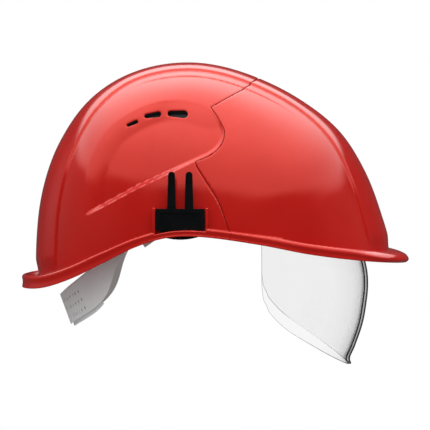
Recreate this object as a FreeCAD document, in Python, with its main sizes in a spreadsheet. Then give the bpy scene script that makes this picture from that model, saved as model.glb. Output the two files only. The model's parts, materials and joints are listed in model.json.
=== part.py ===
import FreeCAD, Part
import math
import os
import Sketcher
from FreeCAD import Placement, Rotation, Vector

# Safety helmet with a retractable eye visor.
# Frame: X forward, Y to the wearer's left, Z up. The origin lies on the middle plane, half-way
# between the front and the rear wall, at the height of the headband's lower edge.

DIMENSIONS = [
    # shells
    ("shell_half_width", 106.0),
    ("shell_wall", 3.0),
    ("crest_rise", 1.6),
    ("base_half_width", 82.4),
    ("base_front_gap", 31.0),
    ("base_crown_gap", 5.2),
    ("seam_gap", 0.5),
    ("seam_web", 3.0),
    ("dome_centre_x", -15.0),
    ("dome_centre_z", -20.0),
    # brim
    ("brim_centre_x", -12.0),
    ("brim_front_reach", 161.0),
    ("brim_rear_reach", 134.3),
    ("brim_half_width", 112.0),
    ("brim_front_edge", 4.5),
    ("brim_rear_edge", 7.6),
    ("brim_lip_width", 2.5),
    ("brim_lip_rise", 1.8),
    # visor
    ("visor_axis_x", -45.0),
    ("visor_axis_z", -10.0),
    ("lens_thickness", 2.2),
    ("lens_half_width", 90.5),
    ("lens_centre_x", 20.0),
    ("guide_radius", 75.0),
    ("guide_plate_width", 14.0),
    ("guide_slot_width", 6.2),
    ("guide_slot_inset", 0.6),
    ("guide_start_angle", 14.5),
    ("guide_end_angle", 50.0),
    ("guide_plate_inner", 80.0),
    ("guide_plate_depth", 3.0),
    ("carrier_inner", 83.25),
    ("carrier_depth", 1.8),
    ("shoe_radius", 2.95),
    ("shoe_neck_radius", 1.5),
    ("rivet_radius", 1.5),
    ("rivet_head_radius", 2.5),
    ("rivet_head_depth", 0.9),
    ("screw_radius", 1.5),
    ("screw_head_radius", 3.2),
    ("screw_head_depth", 2.0),
    ("screw_clearance", 0.05),
    ("cover_screw_reach", 4.4),
    # accessory adapters
    ("adapter_centre_x", -22.8),
    ("adapter_plate_width", 35.7),
    ("adapter_plate_low", 9.7),
    ("adapter_plate_high", 25.4),
    ("adapter_inner", 105.6),
    ("adapter_depth", 2.8),
    ("adapter_plate_depth", 3.6),
    ("adapter_tongue_width", 30.0),
    ("adapter_tongue_low", 2.8),
    ("adapter_tongue_shoulder", 5.4),
    ("adapter_prong_offset", 6.4),
    ("adapter_prong_root", 6.4),
    ("adapter_prong_tip", 5.0),
    ("adapter_prong_high", 50.0),
    ("adapter_slot_clearance", 0.3),
    # harness
    ("band_centre_x", -20.0),
    ("band_half_length", 100.0),
    ("band_half_width", 75.0),
    ("band_depth", 2.0),
    ("band_height", 30.0),
    ("harness_rise", 2.0),
    ("sweatband_depth", 4.0),
    ("webbing_centre_x", -27.0),
    ("webbing_standoff", 2.4),
    ("webbing_width", 19.0),
    ("webbing_depth", 1.2),
    ("webbing_crown", 95.0),
    ("webbing_layer", 2.8),
    ("webbing_spring", 40.0),
    ("webbing_end", 16.0),
    ("key_width", 20.0),
    ("key_depth", 2.0),
    ("crown_pad_radius", 32.0),
    ("crown_pad_curve", 66.0),
    ("crown_pad_depth", 6.0),
    # nape straps
    ("nape_radius", 78.0),
    ("nape_taper", 0.266),
    ("nape_half_height", 13.0),
    ("nape_strap_depth", 1.8),
    ("nape_strap_gap", 0.3),
    ("nape_centre_x", -47.7),
    ("nape_centre_z", -9.5),
    ("nape_lean", 35.0),
    ("nape_hole_pitch", 5.0),
    ("nape_hole_radius", 1.1),
    ("nape_peg_radius", 0.9),
]

# Polar outline of the crest line about the dome centre, as angle above the forward axis and radius.
CREST_OUTLINE = [
    (-75, 165.0), (-30, 157.0), (3.5, 150.9), (15.7, 147.9), (29, 148.4), (42, 150.0),
    (57, 149.0), (70.3, 149.6), (91, 153.3), (108, 152.9), (121.7, 148.4), (137, 138.6),
    (153.5, 128.6), (168.7, 122.2), (182, 120.6), (189, 122.3), (215, 128.0), (250, 150.0),
]
SECTION_ANGLES = [0, 12, 24, 35, 46, 56, 65, 73, 79, 84]
OUTLINE_STEPS = 32

# Lower edge of the brim in side view, rear to front.
BRIM_LINE = [
    (-156, -38.6), (-129, -35.9), (-105, -27.6), (-81, -15.6), (-56, -3.0), (-32, 4.2),
    (-7, 4.8), (35, -1.1), (72, -8.6), (109, -14.1), (156, -19.5),
]
# Joint between the main shell and the front shell in side view, crown to brim.
SEAM_LINE = [
    (62.0, 136.2), (-1.1, 99.5), (3.3, 93.7), (7.0, 87.2), (9.2, 82.4), (8.4, 75.0), (4.8, 69.2),
    (-2.2, 63.8), (-11.5, 61.8), (-12.3, 58.9), (-3.3, 45.8), (7.0, 30.7), (11.4, 16.7),
    (14.0, 6.0), (14.0, -60.0),
]
# Recessed side lobe in side view: straight lower edge from its rear tip, then the curved rest.
LOBE_LOWER = [(-96.0, 17.0), (-54.0, 39.9), (-12.8, 59.2), (-2.2, 64.0)]
LOBE_UPPER = [
    (-2.2, 64.0), (5.4, 70.0), (9.2, 79.0), (7.0, 88.5), (-1.1, 99.5), (-23.0, 105.5),
    (-44.0, 103.5), (-65.0, 94.0), (-79.5, 82.5), (-91.0, 61.8), (-95.5, 42.8), (-96.0, 17.0),
]
LOBE_SHIFT = (-7.6, 9.3, 3.8)
# Crest half-width against X, rear to front.
CREST_EDGE = [(-160, 52), (-130, 45), (-92, 37), (-19, 32), (60, 34), (110, 36), (160, 40)]
# Vent slots in the lobe: centre X and Z, length, height, slope in degrees.
VENTS = [
    (-59.5, 88.0, 9.5, 2.5, 22.0),
    (-44.5, 94.0, 13.4, 3.8, 8.0),
    (-26.0, 95.0, 16.0, 5.0, -3.0),
]
# Middle-plane outline of the lens, height and forward reach, top to bottom.
LENS_OUTLINE = [
    (20, 107.5), (0, 110.0), (-12.2, 114.2), (-24, 117.2), (-35, 118.1), (-46.6, 117.3),
    (-65, 114.2), (-83, 108.2), (-92.5, 104.3), (-97.6, 106.0),
]
# Trimming outline of the lens in side view.
LENS_TRIM = [
    (37, 16), (55, 14), (75, 6), (110, 0), (130, 0), (130, -97.4), (106, -97.4), (50, -61.7),
    (43.2, -52.4), (38.2, -42.0), (37, -34.0),
]
LENS_RIVETS = [(39.6, 3.4), (39.6, 10.2)]
SHOE_ANGLES = [15.5, 21.5]
CARRIER_OUTLINE = [
    (42.5, 0.5), (42.5, 13.0), (37, 13.0), (30.5, 15.0), (28.5, 20.5), (24.0, 21.5), (21.2, 17.5),
    (24.4, 4.5), (32, 0.5),
]
# Rail fixing lugs: distance from the visor axis and angle about it.
RAIL_LUGS = [(66.0, 15.0), (84.0, 49.0)]
LUG_RADIUS = 4.5
# Cover screws on the base dome: angle above forward and angle off the middle plane.
COVER_SCREWS = [(65.0, 15.0), (72.0, 42.0)]
COVER_BOSS_RADIUS = 4.5
# Directions from the crown in which the harness hangs from the shell.
WEBBING_ANGLES = {"side": 90.0, "front_left": 22.0, "front_right": -22.0}
# Edges of the nape straps in side view, rear to front.
NAPE_TOP = [(-125, -52), (-116, -42.4), (-93.5, -24.0), (-76, -5.0), (-64, 12.0), (-56, 24.0)]
NAPE_BOTTOM = [
    (-113, -72), (-107, -64.5), (-83, -45.8), (-77.5, -37.5), (-72.5, -22.5), (-63, -6.5),
    (-54, 0.5), (-38, 6.0),
]
NAPE_LEFT_DROP = 4.0
NAPE_HOLE_ROWS = [-6.5, 0.0, 6.5]
NAPE_HOLES_PER_ROW = 9
NAPE_FIRST_HOLE = 10.0
NAPE_PEGS = [(2, -6.5), (6, -6.5), (2, 6.5), (6, 6.5)]
NAPE_END_ANGLE = 101.0
# Rear ends of the headband and of the sweatband, and how far the latter stands past the band.
BAND_REAR, SWEATBAND_REAR, SWEATBAND_OVERHANG = -42.0, 10.0, 1.0
SLEEVE_ANGLES = (91.0, 111.0)
SLEEVE_RISE = (7.0, 26.5)
NAPE_TOP_RISE = 26.0
FAR = 400.0


def make_sheet(doc):
    sheet = doc.addObject("Spreadsheet::Sheet", "dims")
    for row, (name, value) in enumerate(DIMENSIONS, start=1):
        sheet.set("A%d" % row, name)
        sheet.set("B%d" % row, str(value))
        sheet.setAlias("B%d" % row, name)
    doc.recompute()
    return sheet


def size(name):
    return float(FreeCAD.ActiveDocument.getObject("dims").get(name))


def computed(label, shape):
    feature = FreeCAD.ActiveDocument.addObject("Part::Feature", label)
    feature.Shape = shape
    feature.Placement = shape.Placement
    feature.Label = label
    return feature


# ---- outlines and prisms -------------------------------------------------------------------


def hermite(points, at, period=None):
    """Smooth curve value at `at` through (position, value) points."""
    if period:
        first, last = points[0], points[-1]
        points = [(last[0] - period, last[1])] + points + [(first[0] + period, first[1])]
        points = points + [(points[2][0] + period, points[2][1])]
        at = points[1][0] + (at - points[1][0]) % period
    for index in range(len(points) - 1):
        if at <= points[index + 1][0]:
            break
    here, there = points[index], points[index + 1]
    before = points[index - 1] if index else here
    after = points[index + 2] if index + 2 < len(points) else there
    span = there[0] - here[0]
    slope_here = (there[1] - before[1]) / (there[0] - before[0]) * span
    slope_there = (after[1] - here[1]) / (after[0] - here[0]) * span
    part = (at - here[0]) / span
    return (
        (2 * part**3 - 3 * part**2 + 1) * here[1]
        + (part**3 - 2 * part**2 + part) * slope_here
        + (3 * part**2 - 2 * part**3) * there[1]
        + (part**3 - part**2) * slope_there
    )


def side_points(points):
    return [Vector(x, 0, z) for x, z in points]


def spline_edge(points):
    curve = Part.BSplineCurve()
    curve.interpolate(points)
    return curve.toShape()


def side_prism(edges):
    """Extrudes a closed side-view outline right across the helmet."""
    face = Part.Face(Part.Wire(Part.sortEdges(edges)[0]))
    face.translate(Vector(0, -FAR / 2, 0))
    return face.extrude(Vector(0, FAR, 0))


def polygon_edges(points, closed=True):
    ends = points + points[:1] if closed else points
    return [Part.makeLine(a, b) for a, b in zip(ends[:-1], ends[1:])]


def plan_prism(edges):
    face = Part.Face(Part.Wire(Part.sortEdges(edges)[0]))
    face.translate(Vector(0, 0, -FAR / 2))
    return face.extrude(Vector(0, 0, FAR))


def largest(shape):
    """Drops the slivers that a trim can leave beside the real solid."""
    return max(shape.Solids, key=lambda solid: solid.Volume)


def mirrored(shape):
    return shape.mirror(Vector(0, 0, 0), Vector(0, 1, 0))


# ---- domes ---------------------------------------------------------------------------------


def swell(angle, tilt):
    """Squares the dome's shoulders a little, most of all high up."""
    strength = 0.02 + 0.03 * math.sin(angle) ** 2
    return 1 + strength * math.sin(2 * tilt) ** 2


def dome_point(angle, tilt, radius, half_width):
    reach = radius * swell(angle, tilt)
    return Vector(
        size("dome_centre_x") + reach * math.cos(tilt) * math.cos(angle),
        -half_width * swell(angle, tilt) * math.sin(tilt),
        size("dome_centre_z") + reach * math.cos(tilt) * math.sin(angle),
    )


def crest_radius(angle):
    return hermite(CREST_OUTLINE, math.degrees(angle), 360.0)


def base_gap(angle):
    """Radial distance from the crest line down to the base dome that carries the visor pocket."""
    start, end = 14.0, 74.0
    degrees = (math.degrees(angle) + 180) % 360 - 180
    part = min(max((degrees - start) / (end - start), 0.0), 1.0)
    front, crown = size("base_front_gap"), size("base_crown_gap")
    return crown + (front - crown) * (0.5 + 0.5 * math.cos(math.pi * part))


def dome(inset, half_width):
    """Closed dome body: a loft of smooth outlines at fixed distances from the middle plane."""
    sections = []
    for degrees in [-a for a in reversed(SECTION_ANGLES[1:])] + SECTION_ANGLES:
        offset = half_width * math.sin(math.radians(abs(degrees)))
        sign = math.copysign(1, degrees)
        points = []
        for step in range(OUTLINE_STEPS):
            angle = 2 * math.pi * step / OUTLINE_STEPS - math.pi / 2
            tilt = math.radians(abs(degrees))
            for _ in range(12):
                tilt = math.asin(offset / (half_width * swell(angle, tilt)))
            point = dome_point(angle, tilt, crest_radius(angle) - inset(angle), half_width)
            points.append(Vector(point.x, -sign * offset, point.z))
        curve = Part.BSplineCurve()
        curve.interpolate(points, PeriodicFlag=True)
        sections.append(Part.Wire(curve.toShape()))
    return Part.makeLoft(sections, True, False)


def brim_outline(inset):
    points = []
    steps = 48
    for step in range(steps):
        turn = 2 * math.pi * step / steps
        square = 1 + 0.02 * math.sin(2 * turn) ** 2
        reach = size("brim_front_reach") if math.cos(turn) > 0 else size("brim_rear_reach")
        points.append(Vector(
            size("brim_centre_x") + (reach - inset) * math.cos(turn) * square,
            (size("brim_half_width") - inset) * math.sin(turn) * square,
            0,
        ))
    curve = Part.BSplineCurve()
    curve.interpolate(points, PeriodicFlag=True)
    return plan_prism([curve.toShape()])


def rim_strip(low, high):
    """Side-view strip that follows the brim line, from `low` to `high` above it."""
    bottom = [Vector(x, 0, z + low(x)) for x, z in BRIM_LINE]
    top = [Vector(x, 0, z + high(x)) for x, z in BRIM_LINE]
    edges = [
        spline_edge(bottom),
        Part.makeLine(bottom[-1], top[-1]),
        spline_edge(top),
        Part.makeLine(top[0], bottom[0]),
    ]
    return side_prism(edges)


def brim_edge(x):
    blend = min(max((-40 - x) / 60, 0), 1)
    return size("brim_front_edge") * (1 - blend) + size("brim_rear_edge") * blend


def brim_body():
    plate = rim_strip(lambda x: 0, brim_edge).common(brim_outline(0))
    lip_zone = brim_outline(0).cut(brim_outline(size("brim_lip_width")))
    lip = rim_strip(
        lambda x: brim_edge(x) / 2, lambda x: brim_edge(x) + size("brim_lip_rise")
    ).common(lip_zone)
    return plate.fuse(lip)


def front_zone(step):
    """Everything forward of the seam, with the seam moved forward by `step`."""
    seam = [Vector(x + step, 0, z) for x, z in SEAM_LINE]
    corner = [Vector(FAR / 2, 0, seam[-1].z), Vector(FAR / 2, 0, seam[0].z)]
    return side_prism(polygon_edges(seam + corner))


def lobe_zone(margin):
    lower = [Vector(x, 0, z - margin) for x, z in LOBE_LOWER]
    upper = [Vector(x, 0, z) for x, z in LOBE_UPPER]
    edges = polygon_edges(lower, False) + [spline_edge(upper)]
    if margin:
        edges += [Part.makeLine(lower[0], upper[-1]), Part.makeLine(lower[-1], upper[0])]
    face = Part.Face(Part.Wire(Part.sortEdges(edges)[0]))
    face.translate(Vector(0, -FAR / 2, 0))
    return face.extrude(Vector(0, FAR / 2 - 45, 0))


def lobe_cut(body, margin):
    """Removes the skin that lies outside the sunk copy of the dome, inside each lobe outline."""
    sunk = body.copy()
    sunk.translate(Vector(*LOBE_SHIFT))
    skin = lobe_zone(margin).cut(sunk)
    return body.cut(skin).cut(mirrored(skin))


def crest_zone():
    right = [Vector(x, -half, 0) for x, half in CREST_EDGE]
    left = [Vector(x, half, 0) for x, half in CREST_EDGE]
    return plan_prism([
        spline_edge(right),
        spline_edge(left),
        Part.makeLine(right[0], left[0]),
        Part.makeLine(right[-1], left[-1]),
    ])


def shell_volumes():
    """Outer volume, inner volume and base dome volumes that both shells are cut from."""
    rise, wall = size("crest_rise"), size("shell_wall")
    half = size("shell_half_width")
    skin = dome(lambda a: rise, half)
    outer = lobe_cut(skin, 0)
    inner = lobe_cut(dome(lambda a: rise + wall, half - wall), wall)
    crest = dome(lambda a: 0, half + rise).common(crest_zone())
    below = rim_strip(lambda x: -FAR, lambda x: 0)
    outer = outer.fuse(crest).cut(below).fuse(brim_body().cut(inner))
    base_half = size("base_half_width")
    base = dome(base_gap, base_half).cut(rim_strip(lambda x: -FAR, lambda x: 1.0))
    base_inner = dome(lambda a: base_gap(a) + wall, base_half - wall)
    return outer, inner, base, base_inner


def vent_cutter():
    cutters = []
    for x, z, length, height, slope in VENTS:
        slot = Part.makeBox(length - height, FAR / 4, height, Vector((height - length) / 2, 0, -height / 2))
        for end in (-1, 1):
            centre = Vector(end * (length - height) / 2, 0, 0)
            slot = slot.fuse(Part.makeCylinder(height / 2, FAR / 4, centre, Vector(0, 1, 0)))
        slot.rotate(Vector(0, 0, 0), Vector(0, 1, 0), -slope)
        slot.translate(Vector(x, -FAR / 4 - 50, z))
        cutters += [slot, mirrored(slot)]
    return cutters


def side_cylinder(radius, x, z, start, depth):
    """Cylinder across the right side, from |y| = start outwards."""
    return Part.makeCylinder(radius, depth, Vector(x, -start, z), Vector(0, -1, 0))


def rail_lug_places():
    for reach, degrees in RAIL_LUGS:
        angle = math.radians(degrees)
        yield (
            size("visor_axis_x") + reach * math.cos(angle),
            size("visor_axis_z") + reach * math.sin(angle),
        )


def cover_screw_sites():
    """Point on the base dome and outward direction of each right-hand cover screw."""
    nudge = 0.01
    for degrees, tilt_degrees in COVER_SCREWS:
        angle, tilt = math.radians(degrees), math.radians(tilt_degrees)
        half = size("base_half_width")

        def at(a, t):
            return dome_point(a, t, crest_radius(a) - base_gap(a), half)

        here = at(angle, tilt)
        normal = (at(angle + nudge, tilt) - here).cross(at(angle, tilt + nudge) - here)
        if normal.dot(here - Vector(0, 0, 0)) < 0:
            normal = normal * -1
        yield here, normal.normalize()


def band_reach(degrees):
    """Distance from the webbing's centre to the headband's outer face in one direction."""
    along, across = size("band_half_length"), size("band_half_width")
    shift = size("webbing_centre_x") - size("band_centre_x")
    east, north = math.cos(math.radians(degrees)), math.sin(math.radians(degrees))
    square = (east / along) ** 2 + (north / across) ** 2
    linear = shift * east / along**2
    constant = (shift / along) ** 2 - 1
    return (math.sqrt(linear**2 - square * constant) - linear) / square


def socket_sites():
    """Direction and headband distance of the six places where a harness key plugs in."""
    for direction in WEBBING_ANGLES.values():
        for degrees in (direction, direction + 180):
            yield degrees, band_reach(degrees)


def radial_box(degrees, near, far, half_width, low, high):
    """Box on a ray from the crown's vertical axis, between two distances along the ray."""
    box = Part.makeBox(far - near, 2 * half_width, high - low, Vector(near, -half_width, low))
    box.rotate(Vector(0, 0, 0), Vector(0, 0, 1), degrees)
    box.translate(Vector(size("webbing_centre_x"), 0, 0))
    return box


SOCKET_LOW, SOCKET_HIGH, SOCKET_HALF = 35.0, 49.0, 10.0
PLUG_LOW, PLUG_HIGH, PLUG_HALF, PLUG_LENGTH = 40.0, 44.0, 5.0, 4.5
KEY_LOW, KEY_HIGH = 14.0, 48.0
KEY_STANDOFF = 5.0
PLUG_CLEARANCE = 0.15
RELIEF = 0.4


def key_plate(degrees, radius, margin):
    middle, half = radius + KEY_STANDOFF, size("key_depth") / 2
    return radial_box(
        degrees, middle - half, middle + half + margin,
        size("key_width") / 2 + margin, KEY_LOW - margin, KEY_HIGH + margin,
    )


def rail_end_relief():
    """Room in the seam web for the rounded rear end of the guide rail."""
    angle = math.radians(size("guide_end_angle"))
    return side_cylinder(
        size("guide_plate_width") / 2 + 1.5 * RELIEF,
        size("visor_axis_x") + size("guide_radius") * math.cos(angle),
        size("visor_axis_z") + size("guide_radius") * math.sin(angle),
        size("guide_plate_inner") - RELIEF,
        size("guide_plate_depth") + 2 * RELIEF,
    )


def slot_walls():
    """Ribs each side of the accessory adapter, standing on the brim."""
    half = size("adapter_plate_width") / 2
    centre = size("adapter_centre_x")
    rib, gap, length, low, high = 2.0, 0.5, 12.0, 6.0, 26.0
    outer = size("adapter_inner") + size("adapter_plate_depth")
    ribs = []
    for edge in (centre - half - gap - rib, centre + half + gap):
        ribs.append(Part.makeBox(rib, length, high - low, Vector(edge, -outer, low)))
    return ribs


def plate_cutter():
    """Notch through the brim lip for the adapter's plate and for what is clipped on it."""
    width = size("adapter_plate_width") + 1.0
    inner = size("adapter_inner") - size("adapter_slot_clearance")
    low = size("adapter_plate_low") - RELIEF
    corner = Vector(size("adapter_centre_x") - width / 2, -size("brim_half_width") - 1, low)
    return Part.makeBox(width, size("brim_half_width") + 1 - inner, 30, corner)


def slot_cutter():
    clear = size("adapter_slot_clearance")
    width = size("adapter_tongue_width") + 2 * clear
    depth = size("adapter_depth") + 2 * clear
    corner = Vector(
        size("adapter_centre_x") - width / 2, -size("adapter_inner") - size("adapter_depth") - clear, -10
    )
    return Part.makeBox(width, depth, 30, corner)


def make_main_shell(outer, inner, base, base_inner):
    rear = outer.cut(front_zone(0))
    hollow = inner.cut(front_zone(-size("seam_web")))
    skin = size("shell_wall")
    reach = size("guide_plate_inner") - 0.2
    bosses = [side_cylinder(LUG_RADIUS, x, z, reach - 14, 14) for x, z in rail_lug_places()]
    pads = []
    for degrees, radius in socket_sites():
        near = radius + KEY_STANDOFF + size("key_depth") / 2 + 0.3
        pads.append(radial_box(degrees, near, near + 40, SOCKET_HALF, SOCKET_LOW, SOCKET_HIGH))
    solid = rear.fuse(base)
    ribs = slot_walls()
    solid = solid.fuse([rib.cut(inner) for rib in ribs + [mirrored(r) for r in ribs]])
    solid = solid.fuse(bosses + [mirrored(boss) for boss in bosses])
    cavity = hollow.fuse(base_inner)
    shell = solid.cut(cavity)
    envelope = rear.fuse(base)
    shell = shell.fuse([pad.common(envelope) for pad in pads])
    cuts = vent_cutter()
    for degrees, radius in socket_sites():
        near = radius + KEY_STANDOFF
        cuts.append(radial_box(
            degrees, near, near + size("key_depth") / 2 + PLUG_LENGTH + PLUG_CLEARANCE,
            PLUG_HALF + PLUG_CLEARANCE, PLUG_LOW - PLUG_CLEARANCE, PLUG_HIGH + PLUG_CLEARANCE,
        ))
        cuts.append(key_plate(degrees, radius, RELIEF))
    hole = size("screw_radius") + size("screw_clearance")
    for x, z in rail_lug_places():
        cutter = side_cylinder(hole, x, z, reach - 20, 24)
        cuts += [cutter, mirrored(cutter)]
    for place, normal in cover_screw_sites():
        through = Part.makeCylinder(hole, 20, place - normal * 10, normal)
        seat = Part.makeCylinder(size("screw_head_radius") + 0.4, 20, place - normal * (20 + skin - 0.8), normal)
        cuts += [through, mirrored(through), seat, mirrored(seat)]
    for cutter in (slot_cutter(), plate_cutter(), rail_end_relief()):
        cuts += [cutter, mirrored(cutter)]
    return largest(shell.cut(cuts))


def make_front_shell(outer, inner, base):
    zone = front_zone(size("seam_gap"))
    shell = outer.common(zone).cut(inner)
    bosses, holes = [], []
    hole = size("screw_radius") + size("screw_clearance")
    for place, normal in cover_screw_sites():
        boss = Part.makeCylinder(COVER_BOSS_RADIUS, 40, place + normal * 0.4, normal)
        boss = boss.common(outer).common(zone).cut(base)
        bosses += [boss, mirrored(boss)]
        pilot = Part.makeCylinder(hole, size("cover_screw_reach") + 0.3, place, normal)
        holes += [pilot, mirrored(pilot)]
    return largest(shell.fuse(bosses).cut(holes))


# ---- visor ---------------------------------------------------------------------------------


def lens_section(height, reach):
    """Closed outline of the lens wall at one height: outer arc, inner arc and two short ends."""
    centre = size("lens_centre_x")
    thick = size("lens_thickness")
    drop = max(-40.0 - height, 0) / 57.0
    half = size("lens_half_width") - 6.0 * drop**2
    edges, ends = [], []
    for inset in (0, thick):
        points = []
        for step in range(-12, 13):
            turn = math.radians(step * 90 / 12)
            points.append(Vector(
                centre + (reach - centre - inset) * math.cos(turn),
                (half - inset) * math.sin(turn),
                height,
            ))
        edges.append(spline_edge(points))
        ends.append((points[0], points[-1]))
    (a, b), (c, d) = ends
    return Part.Wire([edges[0], Part.makeLine(b, d), edges[1], Part.makeLine(c, a)])


def make_lens():
    wires = [lens_section(height, reach) for height, reach in reversed(LENS_OUTLINE)]
    blank = Part.makeLoft(wires, True, False)
    lens = blank.common(side_prism(polygon_edges(side_points(LENS_TRIM))))
    hole = size("rivet_radius") + size("screw_clearance")
    for x, z in LENS_RIVETS:
        cutter = side_cylinder(hole, x, z, 70, 40)
        lens = lens.cut([cutter, mirrored(cutter)])
    return largest(lens)


def make_guide_rail(doc):
    """Arc plate with a round-ended slot that guides the visor about its virtual axis."""
    start, end = size("guide_start_angle"), size("guide_end_angle")
    plate = doc.addObject("PartDesign::Body", "rail_body")
    sketch = plate.newObject("Sketcher::SketchObject", "rail_outline")
    plane = [f for f in plate.Origin.OriginFeatures if f.Role == "XZ_Plane"][0]
    sketch.AttachmentSupport = [(plane, "")]
    sketch.MapMode = "FlatFace"
    centre = Vector(size("visor_axis_x"), size("visor_axis_z"), 0)
    half = size("guide_plate_width") / 2
    slot = size("guide_slot_width") / 2
    ring = size("guide_radius")
    add_arc_slot(sketch, centre, ring, half, start, end, "dims.guide_plate_width / 2")
    inset = size("guide_slot_inset")
    add_arc_slot(sketch, centre, ring, slot, start + inset, end - inset, "dims.guide_slot_width / 2")
    pad = plate.newObject("PartDesign::Pad", "rail_pad")
    pad.Profile = sketch
    pad.setExpression("Length", "dims.guide_plate_depth")
    plate.setExpression("Placement.Base.y", "-dims.guide_plate_inner")
    doc.recompute()
    lugs = []
    for index, (x, z) in enumerate(rail_lug_places()):
        lug = add_side_cylinder(doc, "rail_lug_%d" % index, "%g" % LUG_RADIUS,
                                "dims.guide_plate_depth", "dims.guide_plate_inner", x, z)
        lugs.append(lug)
    fused = doc.addObject("Part::MultiFuse", "rail_with_lugs")
    fused.Shapes = [plate] + lugs
    holes = doc.addObject("Part::MultiFuse", "rail_holes")
    holes.Shapes = [
        add_side_cylinder(doc, "rail_hole_%d" % index, "dims.screw_radius + dims.screw_clearance",
                          "dims.guide_plate_depth * 3", "dims.guide_plate_inner - 3", x, z)
        for index, (x, z) in enumerate(rail_lug_places())
    ]
    rail = doc.addObject("Part::Cut", "guide_rail_right")
    rail.Base = fused
    rail.Tool = holes
    return rail


def add_arc_slot(sketch, centre, ring, half, start, end, half_formula):
    """Round-ended arc slot: two concentric arcs closed by end caps of radius `half`."""
    first, last = math.radians(start), math.radians(end)

    def on_ring(angle):
        return centre + Vector(ring * math.cos(angle), ring * math.sin(angle), 0)

    up = Vector(0, 0, 1)
    arcs = [
        Part.ArcOfCircle(Part.Circle(centre, up, ring + half), first, last),
        Part.ArcOfCircle(Part.Circle(centre, up, ring - half), first, last),
        Part.ArcOfCircle(Part.Circle(on_ring(last), up, half), last, last + math.pi),
        Part.ArcOfCircle(Part.Circle(on_ring(first), up, half), first + math.pi, first + 2 * math.pi),
    ]
    ids = sketch.addGeometry(arcs, False)
    outer, inner, far_cap, near_cap = ids
    joins = [(outer, 2, far_cap, 1), (far_cap, 2, inner, 2), (inner, 1, near_cap, 1), (near_cap, 2, outer, 1)]
    for a, a_end, b, b_end in joins:
        sketch.addConstraint(Sketcher.Constraint("Coincident", a, a_end, b, b_end))
    for cap in (far_cap, near_cap):
        radius = sketch.addConstraint(Sketcher.Constraint("Radius", cap, half))
        sketch.setExpression("Constraints[%d]" % radius, half_formula)


def add_side_cylinder(doc, name, radius, depth, start, x, z, sign=-1):
    """Parametric cylinder along Y whose inner end lies at |y| = start."""
    cylinder = doc.addObject("Part::Cylinder", name)
    cylinder.setExpression("Radius", radius)
    cylinder.setExpression("Height", depth)
    cylinder.Placement = Placement(Vector(x, 0, z), Rotation(Vector(1, 0, 0), -90 * sign))
    cylinder.setExpression("Placement.Base.y", "%d * (%s)" % (sign, start))
    return cylinder


def mirror_of(doc, source, label):
    twin = doc.addObject("Part::Mirroring", label)
    twin.Source = source
    twin.Base = (0, 0, 0)
    twin.Normal = (0, 1, 0)
    twin.Label = label
    return twin


def group_of(doc, label, pieces):
    group = doc.addObject("Part::MultiFuse", label)
    group.Shapes = pieces
    group.Label = label
    return group


def make_rail_screws(doc):
    pieces = []
    for sign in (-1, 1):
        for index, (x, z) in enumerate(rail_lug_places()):
            name = "rail_screw_%d_%s" % (index, "left" if sign > 0 else "right")
            head = add_side_cylinder(doc, name + "_head", "dims.screw_head_radius", "dims.screw_head_depth",
                                     "dims.guide_plate_inner + dims.guide_plate_depth + 0.05", x, z, sign)
            shank = add_side_cylinder(doc, name + "_shank", "dims.screw_radius", "8.5",
                                      "dims.guide_plate_inner + dims.guide_plate_depth - 8", x, z, sign)
            pieces.append(group_of(doc, name, [head, shank]))
    return group_of(doc, "rail_screws", pieces)


def make_cover_screws(doc):
    """Screws driven from inside the base dome into the bosses of the front shell."""
    pieces = []
    for index, (place, normal) in enumerate(cover_screw_sites()):
        for sign in (-1, 1):
            spot = Vector(place.x, place.y * -sign, place.z)
            along = Vector(normal.x, normal.y * -sign, normal.z)
            turn = Rotation(Vector(0, 0, 1), along)
            name = "cover_screw_%d_%s" % (index, "left" if sign > 0 else "right")
            head = doc.addObject("Part::Cylinder", name + "_head")
            head.setExpression("Radius", "dims.screw_head_radius")
            head.setExpression("Height", "dims.screw_head_depth")
            seat = size("shell_wall") - 0.8
            head.Placement = Placement(spot - along * (seat + size("screw_head_depth") + 0.05), turn)
            shank = doc.addObject("Part::Cylinder", name + "_shank")
            shank.setExpression("Radius", "dims.screw_radius")
            shank.setExpression(
                "Height", "dims.shell_wall - 0.8 + dims.screw_head_depth + dims.cover_screw_reach")
            shank.Placement = Placement(spot - along * (seat + size("screw_head_depth") + 0.05), turn)
            pieces.append(group_of(doc, name, [head, shank]))
    return group_of(doc, "cover_screws", pieces)


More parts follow.
